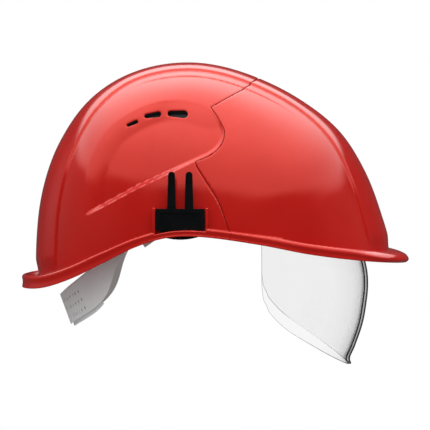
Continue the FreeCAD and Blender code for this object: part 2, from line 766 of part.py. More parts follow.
def make_carrier(doc):
    """Plate that joins the lens wing to the two guide shoes."""
    body = doc.addObject("PartDesign::Body", "visor_carrier_right")
    body.Label = "visor_carrier_right"
    sketch = body.newObject("Sketcher::SketchObject", "carrier_outline")
    plane = [f for f in body.Origin.OriginFeatures if f.Role == "XZ_Plane"][0]
    sketch.AttachmentSupport = [(plane, "")]
    sketch.MapMode = "FlatFace"
    corners = [Vector(x, z, 0) for x, z in CARRIER_OUTLINE]
    ends = corners[1:] + corners[:1]
    sketch.addGeometry([Part.LineSegment(a, b) for a, b in zip(corners, ends)], False)
    for index in range(len(corners)):
        after = (index + 1) % len(corners)
        sketch.addConstraint(Sketcher.Constraint("Coincident", index, 2, after, 1))
    clearance = size("screw_clearance")
    holes = [(x, z, size("rivet_radius") + clearance, "dims.rivet_radius") for x, z in LENS_RIVETS]
    for x, z in shoe_places():
        holes.append((x, z, size("shoe_neck_radius") + clearance, "dims.shoe_neck_radius"))
    for x, z, radius, formula in holes:
        circle = sketch.addGeometry(Part.Circle(Vector(x, z, 0), Vector(0, 0, 1), radius), False)
        limit = sketch.addConstraint(Sketcher.Constraint("Radius", circle, radius))
        sketch.setExpression("Constraints[%d]" % limit, formula + " + dims.screw_clearance")
    pad = body.newObject("PartDesign::Pad", "carrier_pad")
    pad.Profile = sketch
    pad.setExpression("Length", "dims.carrier_depth")
    body.setExpression("Placement.Base.y", "-dims.carrier_inner")
    return body


def shoe_places():
    for degrees in SHOE_ANGLES:
        angle = math.radians(degrees)
        yield (
            size("visor_axis_x") + size("guide_radius") * math.cos(angle),
            size("visor_axis_z") + size("guide_radius") * math.sin(angle),
        )


def make_guide_shoes(doc):
    """Round shoes that run in the rail slots, each clipped through the carrier by a neck."""
    pieces = []
    for sign in (-1, 1):
        for index, (x, z) in enumerate(shoe_places()):
            name = "shoe_%d_%s" % (index, "left" if sign > 0 else "right")
            stud = add_side_cylinder(doc, name + "_stud", "dims.shoe_radius",
                                     "dims.carrier_inner - dims.guide_plate_inner - 0.45",
                                     "dims.guide_plate_inner + 0.4", x, z, sign)
            neck = add_side_cylinder(doc, name + "_neck", "dims.shoe_neck_radius", "dims.carrier_depth + 1",
                                     "dims.carrier_inner - 0.5", x, z, sign)
            head = add_side_cylinder(doc, name + "_head", "dims.shoe_neck_radius * 1.6", "1",
                                     "dims.carrier_inner + dims.carrier_depth + 0.05", x, z, sign)
            pieces.append(group_of(doc, name, [stud, neck, head]))
    return group_of(doc, "guide_shoes", pieces)


def lens_half_at(x, z):
    """Distance of the lens's outer face from the middle plane near its top corner."""
    reach = hermite([(-height, out) for height, out in LENS_OUTLINE], -z)
    centre = size("lens_centre_x")
    return size("lens_half_width") * math.sqrt(1 - ((x - centre) / (reach - centre)) ** 2)


def make_carrier_rivets(doc):
    pieces = []
    for sign in (-1, 1):
        for index, (x, z) in enumerate(LENS_RIVETS):
            name = "rivet_%d_%s" % (index, "left" if sign > 0 else "right")
            outer = lens_half_at(x - size("rivet_head_radius"), z) + 0.3
            start = size("carrier_inner") - size("rivet_head_depth") - 0.05
            inner_head = add_side_cylinder(doc, name + "_inner", "dims.rivet_head_radius",
                                           "dims.rivet_head_depth", "%g" % start, x, z, sign)
            shank = add_side_cylinder(doc, name + "_shank", "dims.rivet_radius",
                                      "%g" % (outer - start + 0.5), "%g" % start, x, z, sign)
            outer_head = add_side_cylinder(doc, name + "_outer", "dims.rivet_head_radius",
                                           "dims.rivet_head_depth", "%g" % outer, x, z, sign)
            pieces.append(group_of(doc, name, [inner_head, shank, outer_head]))
    return group_of(doc, "carrier_rivets", pieces)


# ---- accessory adapters --------------------------------------------------------------------


def make_adapter(doc):
    """Slot adapter: tongue in the brim slot, plate above it and two prongs for an accessory arm."""
    body = doc.addObject("PartDesign::Body", "accessory_adapter_right")
    body.Label = "accessory_adapter_right"
    plane = [f for f in body.Origin.OriginFeatures if f.Role == "XZ_Plane"][0]
    half_plate = size("adapter_plate_width") / 2
    half_tongue = size("adapter_tongue_width") / 2
    low, high = size("adapter_plate_low"), size("adapter_plate_high")
    shoulder, tip = size("adapter_tongue_shoulder"), size("adapter_tongue_low")
    offset, top = size("adapter_prong_offset"), size("adapter_prong_high")
    root, point = size("adapter_prong_root") / 2, size("adapter_prong_tip") / 2

    blade = body.newObject("Sketcher::SketchObject", "blade_outline")
    blade.AttachmentSupport = [(plane, "")]
    blade.MapMode = "FlatFace"
    tongue = Part.Arc(Vector(-half_tongue, shoulder, 0), Vector(0, tip, 0), Vector(half_tongue, shoulder, 0))
    outline = [
        Vector(half_tongue, shoulder, 0), Vector(half_tongue, low, 0), Vector(half_plate, low, 0),
        Vector(half_plate, high, 0), Vector(offset + root, high, 0), Vector(offset + point, top, 0),
    ]
    right_tip = Part.Arc(
        Vector(offset + point, top, 0), Vector(offset, top + point, 0), Vector(offset - point, top, 0)
    )
    inner = [
        Vector(offset - point, top, 0), Vector(offset - root, high, 0),
        Vector(root - offset, high, 0), Vector(point - offset, top, 0),
    ]
    left_tip = Part.Arc(
        Vector(point - offset, top, 0), Vector(-offset, top + point, 0), Vector(-offset - point, top, 0)
    )
    back = [
        Vector(-offset - point, top, 0), Vector(-offset - root, high, 0), Vector(-half_plate, high, 0),
        Vector(-half_plate, low, 0), Vector(-half_tongue, low, 0), Vector(-half_tongue, shoulder, 0),
    ]
    pieces = [tongue]
    for chain, cap in ((outline, right_tip), (inner, left_tip), (back, None)):
        pieces += [Part.LineSegment(a, b) for a, b in zip(chain[:-1], chain[1:])]
        if cap:
            pieces.append(cap)
    blade.addGeometry(pieces, False)
    pad = body.newObject("PartDesign::Pad", "blade_pad")
    pad.Profile = blade
    pad.setExpression("Length", "dims.adapter_depth")

    rim = body.newObject("Sketcher::SketchObject", "plate_outline")
    rim.AttachmentSupport = [(plane, "")]
    rim.MapMode = "FlatFace"
    inset = 3.0
    for gap in (0, inset):
        corners = [
            Vector(-half_plate + gap, low + gap, 0), Vector(half_plate - gap, low + gap, 0),
            Vector(half_plate - gap, high - gap, 0), Vector(-half_plate + gap, high - gap, 0),
        ]
        ends = corners[1:] + corners[:1]
        rim.addGeometry([Part.LineSegment(a, b) for a, b in zip(corners, ends)], False)
    frame = body.newObject("PartDesign::Pad", "plate_pad")
    frame.Profile = rim
    frame.setExpression("Length", "dims.adapter_plate_depth")
    body.setExpression("Placement.Base.x", "dims.adapter_centre_x")
    body.setExpression("Placement.Base.y", "-dims.adapter_inner")
    return body


# ---- nape straps ---------------------------------------------------------------------------


def nape_axis():
    lean = math.radians(size("nape_lean"))
    return Vector(-math.sin(lean), 0, math.cos(lean))


def nape_point(degrees, rise, offset=0.0):
    """Point on the tapered nape ring: angle from the rear centre (right side positive) and rise."""
    axis = nape_axis()
    rearward = Vector(-axis.z, 0, axis.x)
    radius = size("nape_radius") - size("nape_taper") * rise + offset
    angle = math.radians(degrees)
    centre = Vector(size("nape_centre_x"), 0, size("nape_centre_z"))
    return centre + axis * rise + rearward * (radius * math.cos(angle)) - Vector(0, radius * math.sin(angle), 0)


def nape_ring(start, end, low, high, inner, outer):
    """Part of the tapered ring between two angles, two rises and two radial offsets."""
    corners = [
        nape_point(start, low, inner), nape_point(start, low, outer),
        nape_point(start, high, outer), nape_point(start, high, inner),
    ]
    face = Part.Face(Part.makePolygon(corners + corners[:1]))
    centre = Vector(size("nape_centre_x"), 0, size("nape_centre_z"))
    return face.revolve(centre, nape_axis(), end - start)


def nape_side_prism(drop):
    """Side outline of a strap; `drop` lowers its rear edge and fades out before the sleeve."""
    rear, fore = -77.0, -63.0
    bottom = []
    for x, z in NAPE_BOTTOM:
        share = min(max((fore - x) / (fore - rear), 0), 1)
        bottom.append(Vector(x, 0, z - drop * share))
    top = [Vector(x, 0, z) for x, z in NAPE_TOP]
    corners = [Vector(-38, 0, 30), Vector(-56, 0, 30)]
    edges = [spline_edge(bottom), spline_edge(top)]
    edges += [Part.makeLine(bottom[0], top[0]), Part.makeLine(top[-1], corners[1])]
    edges += [Part.makeLine(corners[1], corners[0]), Part.makeLine(corners[0], bottom[-1])]
    return side_prism(edges)


def nape_offsets():
    """Radial limits of the outer (right) and the inner (left) strap."""
    depth, gap = size("nape_strap_depth"), size("nape_strap_gap")
    return (0.0, depth), (-gap - depth, -gap)


def hole_angle(index):
    pitch = math.degrees(size("nape_hole_pitch") / size("nape_radius"))
    return NAPE_FIRST_HOLE + index * pitch


def nape_pin(degrees, rise, radius, inner, outer):
    foot = nape_point(degrees, rise, inner)
    tip = nape_point(degrees, rise, outer)
    return Part.makeCylinder(radius, (tip - foot).Length, foot, tip - foot)


def make_nape_strap_right():
    (inner, outer), _ = nape_offsets()
    ring = nape_ring(-24, NAPE_END_ANGLE, -16, NAPE_TOP_RISE, inner, outer)
    strap = ring.common(nape_side_prism(0))
    holes = []
    for rise in NAPE_HOLE_ROWS:
        for index in range(NAPE_HOLES_PER_ROW):
            holes.append(nape_pin(hole_angle(index), rise, size("nape_hole_radius"), inner - 1, outer + 1))
    return largest(strap.cut(holes))


def make_nape_strap_left():
    _, (inner, outer) = nape_offsets()
    ring = nape_ring(-NAPE_END_ANGLE, 52, -20, NAPE_TOP_RISE, inner, outer)
    strap = ring.common(nape_side_prism(NAPE_LEFT_DROP))
    cord_hole = 1.5
    holes = [nape_pin(degrees, -14.5, cord_hole, inner - 1, outer + 1) for degrees in (30, 44)]
    return largest(strap.cut(holes))


def make_nape_pegs():
    """Snap pegs of the inner strap, standing in holes of the outer one."""
    (_, outer), (_, face) = nape_offsets()
    pegs = [
        nape_pin(hole_angle(index), rise, size("nape_peg_radius"), face - 0.6, outer + 0.6)
        for index, rise in NAPE_PEGS
    ]
    return Part.makeCompound(pegs)


# ---- harness -------------------------------------------------------------------------------


def oval(inset, low, high):
    """Upright oval prism about the crown's vertical axis."""
    along, across = size("band_half_length") - inset, size("band_half_width") - inset
    ellipse = Part.Ellipse(Vector(size("band_centre_x"), 0, low), along, across)
    return Part.Face(Part.Wire(ellipse.toShape())).extrude(Vector(0, 0, high - low))


def below_rim():
    """Space in which the harness would show below the brim from the side."""
    return rim_strip(lambda x: -FAR, lambda x: size("harness_rise"))


def make_headband():
    depth, height = size("band_depth"), size("band_height")
    band = oval(0, 0, height).cut(oval(depth, 0, height))
    front = Part.makeBox(FAR, FAR, FAR, Vector(BAND_REAR, -FAR / 2, -FAR / 2))
    band = band.common(front).cut(below_rim())
    start, end = SLEEVE_ANGLES
    low, high = SLEEVE_RISE
    wall, play = 1.6, 0.35
    sleeves, channels = [], []
    for side, (inner, outer) in zip((1, -1), nape_offsets()):
        angles = (start, end) if side > 0 else (-end, -start)
        sleeves.append(nape_ring(*angles, low - wall, high + wall, inner - play - wall, outer + play + wall))
        run = (start - 5, end - 1.0) if side > 0 else (1.0 - end, 5 - start)
        channels.append(nape_ring(*run, low - play, high + play, inner - play, outer + play))
    band = band.fuse(sleeves).cut(channels)
    return largest(band)


def make_sweatband():
    depth, gap = size("sweatband_depth"), 0.3
    start = size("band_depth") + gap
    low, high = -SWEATBAND_OVERHANG, size("band_height") + SWEATBAND_OVERHANG
    ring = oval(start, low, high).cut(oval(start + depth, low, high))
    front = Part.makeBox(FAR, FAR, FAR, Vector(SWEATBAND_REAR, -FAR / 2, -FAR / 2))
    return ring.common(front).cut(below_rim())


def make_webbing(degrees, layer):
    """Textile strap: two upright ends joined by an arch over the crown."""
    ahead, behind = band_reach(degrees), band_reach(degrees + 180)
    reach = (ahead + behind) / 2 + size("webbing_standoff")
    depth, width = size("webbing_depth"), size("webbing_width")
    crown = size("webbing_crown") + layer * size("webbing_layer")
    spring, end = size("webbing_spring"), size("webbing_end")

    def arch(offset):
        x, rise = reach + offset, crown - spring + offset
        major, minor = max(x, rise), min(x, rise)
        ellipse = Part.Ellipse(Vector(0, 0, 0), major, minor)
        edge = Part.Edge(Part.ArcOfEllipse(ellipse, 0, math.pi))
        if rise > x:
            edge = Part.Edge(Part.ArcOfEllipse(ellipse, -math.pi / 2, math.pi / 2))
            edge.rotate(Vector(0, 0, 0), Vector(0, 0, 1), 90)
        edge.rotate(Vector(0, 0, 0), Vector(1, 0, 0), 90)
        edge.translate(Vector(0, 0, spring))
        left, right = Vector(-x, 0, spring), Vector(x, 0, spring)
        return edge, left, right

    outer, outer_left, outer_right = arch(depth)
    inner, inner_left, inner_right = arch(0)
    low = [Vector(p.x, 0, end) for p in (outer_left, outer_right, inner_left, inner_right)]
    edges = [
        outer, inner,
        Part.makeLine(outer_left, low[0]), Part.makeLine(outer_right, low[1]),
        Part.makeLine(inner_left, low[2]), Part.makeLine(inner_right, low[3]),
        Part.makeLine(low[0], low[2]), Part.makeLine(low[1], low[3]),
    ]
    face = Part.Face(Part.Wire(Part.sortEdges(edges)[0]))
    face.translate(Vector(0, -width / 2, 0))
    strap = face.extrude(Vector(0, width, 0))
    strap.translate(Vector((ahead - behind) / 2, 0, 0))
    strap.rotate(Vector(0, 0, 0), Vector(0, 0, 1), degrees)
    strap.translate(Vector(size("webbing_centre_x"), 0, 0))
    return strap


def make_harness_keys():
    keys = []
    for degrees, radius in socket_sites():
        middle = radius + KEY_STANDOFF
        tip = middle + size("key_depth") / 2 + PLUG_LENGTH
        plug = radial_box(degrees, middle, tip, PLUG_HALF, PLUG_LOW, PLUG_HIGH)
        keys.append(key_plate(degrees, radius, 0).fuse(plug).removeSplitter())
    return Part.makeCompound(keys)


def make_crown_pad():
    """Spherical cap under the crossing of the webbing."""
    curve, depth, radius = size("crown_pad_curve"), size("crown_pad_depth"), size("crown_pad_radius")
    centre = Vector(size("webbing_centre_x"), 0, size("webbing_crown") - curve - 0.5)
    cap = Part.makeSphere(curve, centre).cut(Part.makeSphere(curve - depth, centre))
    column = Part.makeCylinder(radius, FAR, centre, Vector(0, 0, 1))
    return largest(cap.common(column))


# ---- assembly ------------------------------------------------------------------------------


def build(doc):
    outer, inner, base, base_inner = shell_volumes()
    parts = [
        computed("main_shell", make_main_shell(outer, inner, base, base_inner)),
        computed("front_shell", make_front_shell(outer, inner, base)),
        computed("visor_lens", make_lens()),
        computed("nape_strap_right", make_nape_strap_right()),
        computed("nape_strap_left", make_nape_strap_left()),
        computed("nape_pegs", make_nape_pegs()),
        computed("headband", make_headband()),
        computed("sweatband", make_sweatband()),
        computed("harness_keys", make_harness_keys()),
        computed("crown_pad", make_crown_pad()),
    ]
    for layer, (name, degrees) in enumerate(WEBBING_ANGLES.items()):
        parts.append(computed("webbing_" + name, make_webbing(degrees, layer)))
    for source, twin in (
        (make_guide_rail(doc), "guide_rail_left"),
        (make_carrier(doc), "visor_carrier_left"),
        (make_adapter(doc), "accessory_adapter_left"),
    ):
        parts += [source, mirror_of(doc, source, twin)]
    parts += [
        make_rail_screws(doc), make_cover_screws(doc), make_guide_shoes(doc), make_carrier_rivets(doc),
    ]
    return parts


def check(doc, parts):
    for item in doc.Objects:
        if set(item.State) & {"Invalid", "Error"}:
            raise RuntimeError("%s did not recompute: %s" % (item.Label, item.State))
    for item in parts:
        if item.Shape.isNull() or not item.Shape.isValid() or not item.Shape.Solids:
            raise RuntimeError("%s has no valid solid" % item.Label)


def main():
    doc = FreeCAD.newDocument("visor_helmet")
    make_sheet(doc)
    parts = build(doc)
    doc.recompute()
    check(doc, parts)
    os.makedirs("parts", exist_ok=True)
    for item in parts:
        item.Shape.exportStep("parts/%s.step" % item.Label)


main()
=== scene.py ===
"""Safety helmet with a retractable visor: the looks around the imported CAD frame.

Outlines are in millimetres in the row frame (X forward, Y to the wearer's left, Z up) and are
turned into metres when a mesh is made.
"""

import json
import math

import bmesh
import bpy
import numpy as np
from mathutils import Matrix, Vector

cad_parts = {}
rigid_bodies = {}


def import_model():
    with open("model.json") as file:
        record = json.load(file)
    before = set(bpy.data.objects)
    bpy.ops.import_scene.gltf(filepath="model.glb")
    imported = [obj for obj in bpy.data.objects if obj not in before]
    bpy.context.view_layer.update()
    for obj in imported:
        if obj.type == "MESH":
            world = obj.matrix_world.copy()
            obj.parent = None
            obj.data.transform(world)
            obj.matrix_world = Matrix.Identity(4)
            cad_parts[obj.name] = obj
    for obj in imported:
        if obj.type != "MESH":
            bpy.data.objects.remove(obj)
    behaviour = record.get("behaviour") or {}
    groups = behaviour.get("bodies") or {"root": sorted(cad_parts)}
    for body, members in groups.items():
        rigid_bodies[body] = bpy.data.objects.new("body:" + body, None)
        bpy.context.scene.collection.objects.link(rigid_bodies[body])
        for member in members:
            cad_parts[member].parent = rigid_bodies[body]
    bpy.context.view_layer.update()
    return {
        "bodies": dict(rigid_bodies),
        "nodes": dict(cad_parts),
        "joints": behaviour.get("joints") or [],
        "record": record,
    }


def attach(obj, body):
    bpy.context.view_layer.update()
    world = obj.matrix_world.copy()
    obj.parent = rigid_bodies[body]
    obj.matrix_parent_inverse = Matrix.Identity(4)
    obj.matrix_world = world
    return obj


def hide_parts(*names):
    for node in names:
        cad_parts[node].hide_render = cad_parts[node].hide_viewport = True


MM = 0.001

# ---- driving dimensions ----

# As in the CAD source, except for looks: the seam's line and gaps, the crest's widening, the fold
# beside it, the lobes' depth limits, the vents' sizes, the brim's rounding and the softened edges.
# The dark sheets behind the vents, painted shade for the shaded inside of the vents, are in no CAD part.

DOME_CENTRE = np.array([-15.0, 0.0, -20.0])
SHELL_HALF_WIDTH = 106.0
SHELL_WALL = 3.0
CREST_RISE, CREST_RAMP = 1.6, 2.2
CREST_MIDDLE, CREST_REACH = 3.0, 130.0
CREST_WIDENING, CREST_WIDE_START, CREST_WIDE_RAMP = 0.38, 0.45, 0.5
OUTER_SKIN = (CREST_RISE, SHELL_HALF_WIDTH)
INNER_SKIN = (CREST_RISE + SHELL_WALL, SHELL_HALF_WIDTH - SHELL_WALL)
SIDE_FULLNESS, CROWN_FULLNESS = 0.02, 0.03
BASE_HALF_WIDTH = 82.4
BASE_FRONT_GAP, BASE_CROWN_GAP, BASE_FOOT_RISE = 31.0, 5.2, 1.0
BASE_GAP_START, BASE_GAP_SPAN = 14.0, 60.0
BRIM_CENTRE_X, BRIM_FRONT_REACH, BRIM_REAR_REACH, BRIM_HALF_WIDTH = -12.0, 161.0, 134.3, 112.0
BRIM_FRONT_EDGE, BRIM_REAR_EDGE = 4.5, 7.6
BRIM_EDGE_START, BRIM_EDGE_RAMP = -40.0, 60.0
BRIM_SQUARENESS = 0.02
BROW_START, BROW_RAMP = 0.2, 0.6
FILLET_SIDE, FILLET_BROW, FILLET_LIMIT = 2.4, 0.8, 0.45
LIP_RISE, LIP_START, LIP_RAMP = 1.8, 14.0, 22.0
PLATE_WALL = 2.4
SEAM_GAP, BRIM_SEAM_GAP, SEAM_WEB = 0.5, 0.12, 3.0
# sizes of the dark sheets behind the vents, which are painted shade
SHADE_SHEET_MARGIN, SHADE_SHEET_HALF_HEIGHT, SHADE_SHEET_DROP, SHADE_SHEET_GAP, SHADE_SHEET_WALL = 11.0, 6.5, 1.0, 0.3, 1.0

CREST_OUTLINE = [
    (-75, 165.0), (-30, 157.0), (3.5, 150.9), (15.7, 147.9), (29, 148.4), (42, 150.0),
    (57, 149.0), (70.3, 149.6), (91, 153.3), (108, 152.9), (121.7, 148.4), (137, 138.6),
    (153.5, 128.6), (168.7, 122.2), (182, 120.6), (189, 122.3), (215, 128.0), (250, 150.0),
]
BRIM_LINE = [
    (-156, -38.6), (-129, -35.9), (-105, -27.6), (-81, -15.6), (-56, -3.0), (-32, 4.2),
    (-7, 4.8), (35, -1.1), (72, -8.6), (109, -14.1), (156, -19.5),
]
SEAM_CROWN = (62.0, 136.2)
SEAM_CURVE = [
    (-1.1, 99.5), (3.3, 93.7), (7.0, 87.2), (9.2, 82.4), (8.4, 75.0), (4.8, 69.2), (-2.2, 63.8),
]
SEAM_HOOK = [(-7.5, 61.6), (-12.0, 59.2)]
SEAM_SIDE = [(-4.6, 45.8), (4.9, 30.7), (10.3, 16.7), (13.8, 6.0)]
SEAM_FOOT = (14.0, -60.0)
LOBE_LOWER = [(-96.0, 17.0), (-54.0, 39.9), (-12.8, 59.2), (-2.2, 64.0)]
LOBE_UPPER = [
    (-2.2, 64.0), (5.4, 70.0), (9.2, 79.0), (7.0, 88.5), (-1.1, 99.5), (-23.0, 105.5),
    (-44.0, 103.5), (-65.0, 94.0), (-79.5, 82.5), (-91.0, 61.8), (-95.5, 42.8), (-96.0, 17.0),
]
LOBE_SHIFT_X, LOBE_SINK, LOBE_SHIFT_Z = -7.6, 9.3, 3.8
CREST_EDGE = [(-160, 52), (-130, 45), (-92, 37), (-19, 32), (60, 34), (110, 36), (160, 40)]
FOLD_LINE = [(-80, 45), (-40, 44), (0, 44), (40, 45), (80, 46)]
FOLD_DEPTH, FOLD_RAMP, FOLD_FADE = 0.8, 1.2, 26.0
FOLD_END, FOLD_END_RAMP = 70.0, 40.0
VENTS = [
    (-59.5, 87.6, 10.0, 3.0, 22.0),
    (-44.5, 93.8, 13.6, 4.4, 8.0),
    (-26.0, 94.8, 16.2, 5.9, -3.0),
]
# VENT_EDGE: how close to a vent outline the slot walls get black painted shade
VENT_TAPER, VENT_EDGE = 0.14, 0.2
ADAPTER_X, ADAPTER_PLATE_WIDTH = -22.8, 35.7
NOTCH_MARGIN, NOTCH_RAMP = 0.6, 0.8
SLOT_LENGTH, SLOT_INNER, SLOT_OUTER = 30.6, 105.3, 108.7
LENS_OUTLINE = [
    (20, 107.5), (0, 110.0), (-12.2, 114.2), (-24, 117.2), (-35, 118.1), (-46.6, 117.3),
    (-65, 114.2), (-83, 108.2), (-92.5, 104.3), (-97.6, 106.0),
]
LENS_TRIM = [
    (37, 16), (55, 14), (75, 6), (110, 0), (130, 0), (130, -97.4), (106, -97.4), (50, -61.7),
    (43.2, -52.4), (38.2, -42.0), (37, -34.0),
]
LENS_CORNERS = {0: 5.0, 6: 5.0, 7: 14.0, 10: 6.0}
LENS_CENTRE_X, LENS_HALF_WIDTH, LENS_WALL = 20.0, 90.5, 2.2
LENS_LOW, LENS_HIGH, LENS_EDGE = -97.3, 16.0, 0.7
LENS_TAPER, LENS_TAPER_START, LENS_TAPER_SPAN = 6.0, -40.0, 57.0
EDGE_SOFTNESS, EDGE_SOFT_WIDTH, LENS_SOFTNESS = 0.35, 0.7, 0.4
WALL_FOOT_BLEND = 0.06

# ---- curves ----


def smooth_curve(points, at, period=None):
    """Value at `at` of the smooth curve through (position, value) points."""
    points = sorted(points)
    places = np.array([p[0] for p in points], float)
    values = np.array([p[1] for p in points], float)
    at = np.asarray(at, float)
    if period:
        places = np.concatenate([places[-2:] - period, places, places[:2] + period])
        values = np.concatenate([values[-2:], values, values[:2]])
        at = (at - places[2]) % period + places[2]
    at = np.clip(at, places[0], places[-1])
    slopes = np.empty_like(values)
    slopes[1:-1] = (values[2:] - values[:-2]) / (places[2:] - places[:-2])
    slopes[0] = (values[1] - values[0]) / (places[1] - places[0])
    slopes[-1] = (values[-1] - values[-2]) / (places[-1] - places[-2])
    i = np.clip(np.searchsorted(places, at) - 1, 0, len(places) - 2)
    span = places[i + 1] - places[i]
    t = (at - places[i]) / span
    return (
        (2 * t**3 - 3 * t**2 + 1) * values[i]
        + (t**3 - 2 * t**2 + t) * span * slopes[i]
        + (3 * t**2 - 2 * t**3) * values[i + 1]
        + (t**3 - t**2) * span * slopes[i + 1]
    )


def part_way(value, start, span):
    return np.clip((value - start) / span, 0, 1)


def smooth_step(value):
    t = np.clip(value, 0, 1)
    return t * t * (3 - 2 * t)


def polar(plan):
    return np.hypot(plan[:, 0], plan[:, 1]), np.arctan2(plan[:, 1], plan[:, 0])


def lengths_along(points):
    return np.concatenate([[0], np.cumsum(np.hypot(*np.diff(np.array(points, float), axis=0).T))])


def resampled(points, steps=8):
    """Denser outline through the same points, without corners."""
    places = lengths_along(points)
    at = np.concatenate([
        np.linspace(a, b, steps, endpoint=False) for a, b in zip(places[:-1], places[1:])
    ] + [places[-1:]])
    first = smooth_curve(list(zip(places, [p[0] for p in points])), at)
    second = smooth_curve(list(zip(places, [p[1] for p in points])), at)
    return list(zip(first, second))


def line_distance(outline, x, z):
    """Distance from points to an open line of straight pieces."""
    best = np.full(np.shape(x), np.inf)
    for (ax, az), (bx, bz) in zip(outline[:-1], outline[1:]):
        ux, uz = bx - ax, bz - az
        t = np.clip(((x - ax) * ux + (z - az) * uz) / (ux * ux + uz * uz), 0, 1)
        best = np.minimum(best, np.hypot(x - ax - t * ux, z - az - t * uz))
    return best


def is_inside(outline, x, z):
    inside = np.zeros(np.shape(x), bool)
    for (ax, az), (bx, bz) in zip(outline, outline[1:] + outline[:1]):
        if az == bz:
            continue
        crossing = ((az > z) != (bz > z)) & (x < (bx - ax) * (z - az) / (bz - az) + ax)
        inside ^= crossing
    return inside


def signed_distance(outline, x, z):
    """Negative inside a closed outline, positive outside."""
    away = line_distance(outline + outline[:1], x, z)
    return np.where(is_inside(outline, x, z), -away, away)


# ---- the shell's surfaces ----


def crest_radius(turn):
    return smooth_curve(CREST_OUTLINE, np.degrees(turn), 360.0)


def swell(turn, tilt):
    """Factor that makes the dome fuller than an ellipsoid between its axes."""
    return 1 + (SIDE_FULLNESS + CROWN_FULLNESS * np.sin(turn) ** 2) * np.sin(2 * tilt) ** 2


def dome(azimuth, elevation, inset, half_width):
    """Dome points in the given directions from its centre.

    `inset` is a number, one per point, or a function of the angle along the crest."""
    forward = np.cos(elevation) * np.cos(azimuth)
    side = np.cos(elevation) * np.sin(azimuth)
    up = np.sin(elevation)
    turn = np.arctan2(up, forward)
    radius = crest_radius(turn) - (inset(turn) if callable(inset) else inset)
    tilt = np.arctan2(np.abs(side) * radius, half_width * np.hypot(forward, up))
    grow = swell(turn, tilt)
    return DOME_CENTRE + np.stack([
        grow * radius * np.cos(tilt) * np.cos(turn),
        np.sign(side) * half_width * grow * np.sin(tilt),
        grow * radius * np.cos(tilt) * np.sin(turn),
    ], -1)


def skin_half_width(x, z, inset, half_width):
    """|Y| of a dome at side-view places, 0 beyond its outline."""
    forward, up = x - DOME_CENTRE[0], z - DOME_CENTRE[2]
    turn, reach = np.arctan2(up, forward), np.hypot(forward, up)
    radius = crest_radius(turn) - (inset(turn) if callable(inset) else inset)
    rounds = 10
    tilt = np.arccos(np.clip(reach / radius, 0, 1))
    for _ in range(rounds):
        tilt = np.arccos(np.clip(reach / (radius * swell(turn, tilt)), 0, 1))
    return half_width * swell(turn, tilt) * np.sin(tilt)


def base_gap(turn):
    """Inset of the inner dome, wide at the brow where the visor's pocket is."""
    degrees = (np.degrees(turn) + 180) % 360 - 180
    part = part_way(degrees, BASE_GAP_START, BASE_GAP_SPAN)
    return BASE_CROWN_GAP + (BASE_FRONT_GAP - BASE_CROWN_GAP) * (0.5 + 0.5 * np.cos(math.pi * part))


def rim_low(x):
    return smooth_curve(BRIM_LINE, x)


def rim_high(x):
    to_rear = smooth_step((BRIM_EDGE_START - x) / BRIM_EDGE_RAMP)
    return rim_low(x) + BRIM_FRONT_EDGE + (BRIM_REAR_EDGE - BRIM_FRONT_EDGE) * to_rear


def elevation_at(azimuth, height, inset, half_width):
    """Elevation at which a dome stands at `height(x)` in each plan direction."""
    lowest, highest, halvings = -30, 60, 36
    low = np.full(azimuth.shape, math.radians(lowest))
    high = np.full(azimuth.shape, math.radians(highest))
    for _ in range(halvings):
        middle = (low + high) / 2
        point = dome(azimuth, middle, inset, half_width)
        above = point[:, 2] > height(point[:, 0])
        high = np.where(above, middle, high)
        low = np.where(above, low, middle)
    return middle


def plan_reach(points):
    return np.hypot(points[:, 0] - DOME_CENTRE[0], points[:, 1])


class Tables:
    """Brim and wall measures by plan direction, from the dome's centre."""

    def __init__(self):
        steps = 1441
        az = self.azimuth = np.linspace(-math.pi, math.pi, steps)
        self.front = smooth_step((np.cos(az) - BROW_START) / BROW_RAMP)
        fillet = self.fillet = FILLET_SIDE + FILLET_BROW * self.front
        self.wall = elevation_at(az, lambda x: rim_high(x) + fillet, *OUTER_SKIN)
        self.corner = plan_reach(dome(az, elevation_at(az, rim_high, *OUTER_SKIN), *OUTER_SKIN))
        under = elevation_at(az, lambda x: rim_high(x) - PLATE_WALL, *INNER_SKIN)
        self.inner_corner = plan_reach(dome(az, under, *INNER_SKIN))
        turn = np.linspace(0, 2 * math.pi, steps)
        square = 1 + BRIM_SQUARENESS * np.sin(2 * turn) ** 2
        reach = np.where(np.cos(turn) > 0, BRIM_FRONT_REACH, BRIM_REAR_REACH)
        x = BRIM_CENTRE_X + reach * np.cos(turn) * square
        y = BRIM_HALF_WIDTH * np.sin(turn) * square
        angle = np.arctan2(y, x - DOME_CENTRE[0])
        order = np.argsort(angle)
        away = np.hypot(x - DOME_CENTRE[0], y)
        self.rim = np.interp(az, angle[order], away[order], period=2 * math.pi)
        self.lip = LIP_RISE * smooth_step((np.abs(np.degrees(az)) - LIP_START) / LIP_RAMP)

    def at(self, name, azimuth):
        return np.interp(azimuth, self.azimuth, getattr(self, name))


TABLES = Tables()

